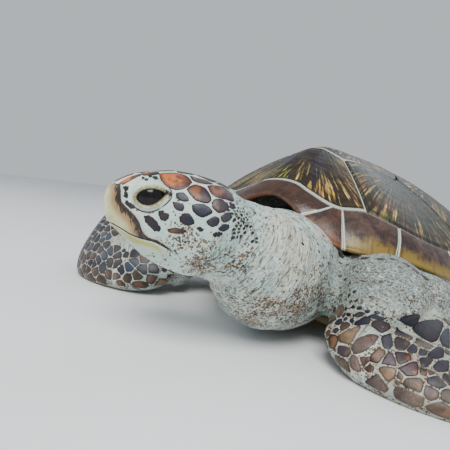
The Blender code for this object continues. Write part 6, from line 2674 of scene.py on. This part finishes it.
@dataclass
class Eyes:
    """Two wet eyeballs, seated behind the lids."""

    head: HeadFrame
    radius: float = EYE_RADIUS
    aim: tuple[float, float, float] = (0.25, 0.965, -0.05)

    def build(self) -> list[bpy.types.Object]:
        """Build both eyes.

        Returns:
            The two pieces.
        """
        finish = EyeFinish().build()
        pieces = []
        for side, label in ((1, "left"), (-1, "right")):
            tilt = np.linspace(0, np.pi, 41)[1:-1]
            turn = full_turn(72)
            aim = np.array((self.aim[0], self.aim[1] * side, self.aim[2]))
            aim /= np.linalg.norm(aim)
            first = np.cross(aim, (0, 0, 1.0))
            first /= np.linalg.norm(first)
            second = np.cross(aim, first)
            ring = (np.cos(tilt)[:, None, None] * aim
                    + np.sin(tilt)[:, None, None] * (np.cos(turn)[None, :, None] * first
                                                     + np.sin(turn)[None, :, None] * second))
            unit = np.vstack((ring.reshape(-1, 3), aim[None], -aim[None]))
            centre = np.array((EYE_CENTRE[0], EYE_CENTRE[1] * side, EYE_CENTRE[2]))
            faces = ring_faces(len(tilt), len(turn), caps=False)
            last = len(unit) - 2
            faces += fan(0, 72, last, turned=True) + fan((len(tilt) - 1) * 72, 72, last + 1)
            eye = new_piece(f"eyeball_{label}", self.head.out(centre + unit * self.radius), faces,
                            finish)
            off = np.arccos(np.clip(unit @ aim, -1, 1))
            paint(eye, "out", off)
            around = np.arctan2(unit @ second, unit @ first)
            paint(eye, "spoke", np.column_stack((np.cos(around), np.sin(around), off)))
            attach(eye, "root")
            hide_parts(f"eye_{label}")
            pieces.append(eye)
        LOG.info("eyes: %d", len(pieces))
        return pieces


# Claws: root, pointing direction, length and root radius, on the left.
LEFT_FRONT_CLAW = ((0.376, -0.046, 0.008), (0.86, -0.45, -0.12), 0.017, 0.0058)
RIGHT_FRONT_CLAW = ((0.370, -0.056, 0.008), (0.90, -0.30, -0.10), 0.017, 0.0058)
HIND_CLAW = ((0.214, 0.744, 0.010), (0.90, 0.40, -0.10), 0.018, 0.0048)


@dataclass
class Claws:
    """Four short bent claws."""

    ring: int = 18
    steps: int = 16
    buried: float = 0.3
    droop: float = 0.12
    flatness: float = 0.72

    def build_claw(self, name: str, claw: tuple, side: int,
                   finish: bpy.types.Material) -> bpy.types.Object:
        """One claw, tapering and bending down to its tip.

        Args:
            name: name of the CAD node that it stands for.
            claw: its root and its sizes.
            side: 1 for the left, -1 for the right.
            finish: its material.

        Returns:
            The claw.
        """
        root, direction, length, radius = claw
        along = np.array((direction[0] * side, *direction[1:]))
        along /= np.linalg.norm(along)
        start = np.array((root[0] * side, root[1] - REST_Y, root[2])) - along * length * self.buried
        t = np.linspace(0, 1, self.steps)[:, None]
        whole = length * (1 + self.buried)
        centre = start + along * (whole * t) - np.array((0, 0, self.droop * length)) * t * t
        centre[:, 2] = np.maximum(centre[:, 2], 0.0012 + radius * (1 - t[:, 0]) * 0.6)
        width = np.maximum(radius * (1 - 0.93 * t**1.5), 0.0005)
        rings = tube(centre, width, self.flatness * width, self.ring)
        item = new_piece(f"{name}_nail", rings.reshape(-1, 3), ring_faces(self.steps, self.ring),
                         finish)
        paint(item, "along", t.repeat(self.ring, 1).ravel())
        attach(item, "root")
        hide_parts(name)
        return item

    def build(self) -> list[bpy.types.Object]:
        """Build all the claws.

        Returns:
            The four pieces.
        """
        finish = ClawFinish().build()
        pieces = []
        for side, label in ((1, "left"), (-1, "right")):
            front = LEFT_FRONT_CLAW if side > 0 else RIGHT_FRONT_CLAW
            pieces.append(self.build_claw(f"claw_front_{label}", front, side, finish))
            pieces.append(self.build_claw(f"claw_hind_{label}", HIND_CLAW, side, finish))
        LOG.info("claws: %d", len(pieces))
        return pieces


@dataclass
class Granules:
    """Small horny grains strewn over the neck and shoulders, thickest under the rim."""

    skin: bpy.types.Object
    head: HeadFrame
    amount: float = 9000.0
    size: float = 0.0021
    seed: int = 11
    elbow: tuple[float, float, float, float] = (0.185, -0.425, 0.105, 0.030)

    def tree(self, finish: bpy.types.Material) -> bpy.types.GeometryNodeTree:
        """The node tree: points on the skin, a small grain at each, made real.

        Args:
            finish: the grains' material.

        Returns:
            The tree, with inputs for amount, size and seed.
        """
        group = bpy.data.node_groups.new("strewn_grains", "GeometryNodeTree")
        for label, kind, value in (("Geometry", "NodeSocketGeometry", None),
                                   ("Amount", "NodeSocketFloat", self.amount),
                                   ("Size", "NodeSocketFloat", self.size),
                                   ("Seed", "NodeSocketInt", self.seed)):
            socket = group.interface.new_socket(label, in_out="INPUT", socket_type=kind)
            if value is not None:
                socket.default_value = value
        group.interface.new_socket("Geometry", in_out="OUTPUT", socket_type="NodeSocketGeometry")

        def add(kind: str, values: dict[Union[str, int], object], **settings: str) -> bpy.types.Node:
            """Add a node.

            Args:
                kind: its type.
                values: values of its sockets.
                settings: its own settings.

            Returns:
                The node.
            """
            node = group.nodes.new(kind)
            for key, value in settings.items():
                setattr(node, key, value)
            for key, value in values.items():
                node.inputs[key].default_value = value
            return node

        source, sink = add("NodeGroupInput", {}), add("NodeGroupOutput", {})
        scatter = add("GeometryNodeDistributePointsOnFaces", {}, distribute_method="POISSON")
        where = add("GeometryNodeInputNamedAttribute", {"Name": "grains"}, data_type="FLOAT")
        gap = add("ShaderNodeMath", {1: 1.9}, operation="MULTIPLY")
        grain = add("GeometryNodeMeshIcoSphere", {"Radius": 1.0, "Subdivisions": 2})
        squash = add("GeometryNodeTransform", {"Scale": (1.3, 0.9, 0.32)})
        vary = add("FunctionNodeRandomValue", {2: 0.45, 3: 1.15}, data_type="FLOAT")
        scale = add("ShaderNodeMath", {}, operation="MULTIPLY")
        place = add("GeometryNodeInstanceOnPoints", {})
        real = add("GeometryNodeRealizeInstances", {})
        dress = add("GeometryNodeSetMaterial", {"Material": finish})
        smooth = add("GeometryNodeSetShadeSmooth", {})
        for start, out, end, into in (
                (source, "Geometry", scatter, "Mesh"), (source, "Size", gap, 0),
                (gap, 0, scatter, "Distance Min"), (source, "Amount", scatter, "Density Max"),
                (where, "Attribute", scatter, "Density Factor"), (source, "Seed", scatter, "Seed"),
                (source, "Seed", vary, "Seed"), (scatter, "Points", place, "Points"),
                (scatter, "Rotation", place, "Rotation"), (grain, "Mesh", squash, "Geometry"),
                (squash, "Geometry", place, "Instance"), (vary, 1, scale, 0),
                (source, "Size", scale, 1), (scale, 0, place, "Scale"),
                (place, "Instances", real, "Geometry"), (real, "Geometry", smooth, "Geometry"),
                (smooth, "Geometry", dress, "Geometry"), (dress, "Geometry", sink, "Geometry")):
            group.links.new(start.outputs[out], end.inputs[into])
        return group

    def density(self, points: np.ndarray) -> np.ndarray:
        """How thickly grains lie at skin points, 0 to 1.

        Args:
            points: skin points.

        Returns:
            A weight for each point.
        """
        form = Carapace()
        angle, radius = form.polar(points[:, :2])
        under = form.underside(angle) - points[:, 2]
        near_rim = smooth_step(0.060, 0.0, under) * smooth_step(0.075, 0.0, np.abs(
            radius - form.ring_radius(angle)))
        front = smooth_step(-0.28, -0.34, points[:, 1])
        local = self.head.into(points)
        nape = smooth_step(-0.052, -0.075, local[:, 0]) * smooth_step(-0.150, -0.085, local[:, 0]) \
            * smooth_step(-0.05, 0.0, local[:, 2])
        elbow = halo(points, (self.elbow,))
        return np.clip(near_rim * front * 0.8 + nape * 0.30 + elbow * 0.6, 0, 1)

    def build(self) -> bpy.types.Object:
        """Build the grains as one plain mesh.

        Returns:
            The piece.
        """
        s = Shade("grain_horn", 0.4)
        speck = s.noise(s.place(), 130.0, 2.0, 0.5)
        base = s.mix(s.step(speck, 0.40, 0.62), (0.030, 0.028, 0.034), (0.120, 0.080, 0.060))
        fine = s.noise(s.place(), 700.0, 2.0, 0.5)
        finish = s.finish(base, s.step(fine, 0.2, 0.8, 0.3, 0.5), fine, 0.0003, 0.4)
        item = bpy.data.objects.new("skin_grains", self.skin.data.copy())
        bpy.context.scene.collection.objects.link(item)
        paint(item, "grains", self.density(places(self.skin)))
        step = item.modifiers.new("grains", "NODES")
        step.node_group = self.tree(finish)
        values = {"Amount": self.amount, "Size": self.size, "Seed": self.seed}
        for socket in step.node_group.interface.items_tree:
            if socket.in_out == "INPUT" and socket.name in values:
                step[socket.identifier] = values[socket.name]
        result = settle(item, "skin_grains")
        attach(item, "root")
        LOG.info("grains: %d triangles", sum(len(p.vertices) - 2 for p in result.polygons))
        return item


# ---- Stage ----
@dataclass
class Studio:
    """The floor, the lights and the camera."""

    place: tuple[float, float, float] = (0.3591, -0.9879, 0.2109)
    turn: float = math.radians(36.41)
    rise: float = math.radians(5.07)
    roll: float = math.radians(8.76)
    lens: float = 34.13

    def build_floor(self) -> None:
        """A plain pale floor."""
        s = Shade("floor_paper", 0.85)
        speck = s.noise(s.place(), 3.0, 2.0, 0.5)
        s.finish(s.mix(speck, (0.74, 0.75, 0.76), (0.78, 0.79, 0.80)))
        points = [(-4, -4, -0.0006), (4, -4, -0.0006), (4, 4, -0.0006), (-4, 4, -0.0006)]
        floor = new_piece("floor", np.array(points), [[0, 1, 2, 3]], s.material, turn_out=False)

    def build_light(self, name: str, at: Sequence[float], aim: Sequence[float], size: float,
                    power: float, tint: Colour) -> None:
        """One soft square light.

        Args:
            name: the light's name.
            at: its place.
            aim: what it points at.
            size: its side.
            power: its watts.
            tint: its colour.
        """
        lamp = bpy.data.lights.new(name, "AREA")
        lamp.shape = "SQUARE"
        lamp.size = size
        lamp.energy = power
        lamp.color = tint
        item = bpy.data.objects.new(name, lamp)
        item.location = at
        item.rotation_euler = (Vector(aim) - Vector(at)).to_track_quat("-Z", "Y").to_euler()
        bpy.context.scene.collection.objects.link(item)

    def build_camera(self) -> None:
        """The camera, turned, raised and rolled to its view."""
        back = Vector((math.sin(self.turn) * math.cos(self.rise),
                       -math.cos(self.turn) * math.cos(self.rise), math.sin(self.rise)))
        level = Vector((math.cos(self.turn), math.sin(self.turn), 0.0))
        upright = back.cross(level)
        right = level * math.cos(self.roll) + upright * math.sin(self.roll)
        up = upright * math.cos(self.roll) - level * math.sin(self.roll)
        lens = bpy.data.cameras.new("camera")
        lens.lens = self.lens
        lens.sensor_width = 36.0
        lens.clip_start = 0.02
        camera = bpy.data.objects.new("camera", lens)
        camera.matrix_world = Matrix((
            (right.x, up.x, back.x, self.place[0]), (right.y, up.y, back.y, self.place[1]),
            (right.z, up.z, back.z, self.place[2]), (0, 0, 0, 1)))
        bpy.context.scene.collection.objects.link(camera)
        bpy.context.scene.camera = camera

    def build(self) -> None:
        """Build the floor, the lights, the pale surroundings and the camera."""
        self.build_floor()
        self.build_light("key", (0.9, -1.9, 2.1), (0.0, -0.3, 0.15), 1.3, 88.0, (1.0, 0.985, 0.96))
        self.build_light("fill", (-1.9, -1.5, 1.3), (0.0, -0.3, 0.15), 1.8, 14.0, (0.90, 0.95, 1.0))
        self.build_light("top", (0.3, 1.7, 2.2), (0.0, 0.0, 0.2), 1.8, 20.0, (0.80, 0.90, 1.0))
        world = bpy.data.worlds.new("surroundings")
        world.use_nodes = True
        sky = world.node_tree.nodes["Background"]
        sky.inputs[0].default_value = (0.86, 0.91, 0.96, 1.0)
        sky.inputs[1].default_value = 0.66
        bpy.context.scene.world = world
        self.build_camera()


def main() -> None:
    """Build the dressed turtle, piece by piece, over its frame."""
    logging.basicConfig(level=logging.INFO, format="%(message)s")
    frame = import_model()
    form = Carapace()
    head = HeadFrame()
    forms = Forms(form, head)
    Dome(form).build()
    Rim(form).build()
    skin = Skin(forms).build(SkinFinish().build())
    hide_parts("head", "neck", "trunk", "tail", "upper_arm_left", "upper_arm_right",
                "front_flipper_left", "front_flipper_right", "hind_flipper_left",
                "hind_flipper_right")
    Scales(forms, skin).build()
    Granules(skin, head).build()
    Beak(forms).build()
    Eyes(head).build()
    Claws().build()
    plastron = frame["nodes"]["plastron"]
    plastron.data.materials.clear()
    plastron.data.materials.append(PlastronFinish().build())
    Studio().build()


if __name__ == "__main__":
    main()
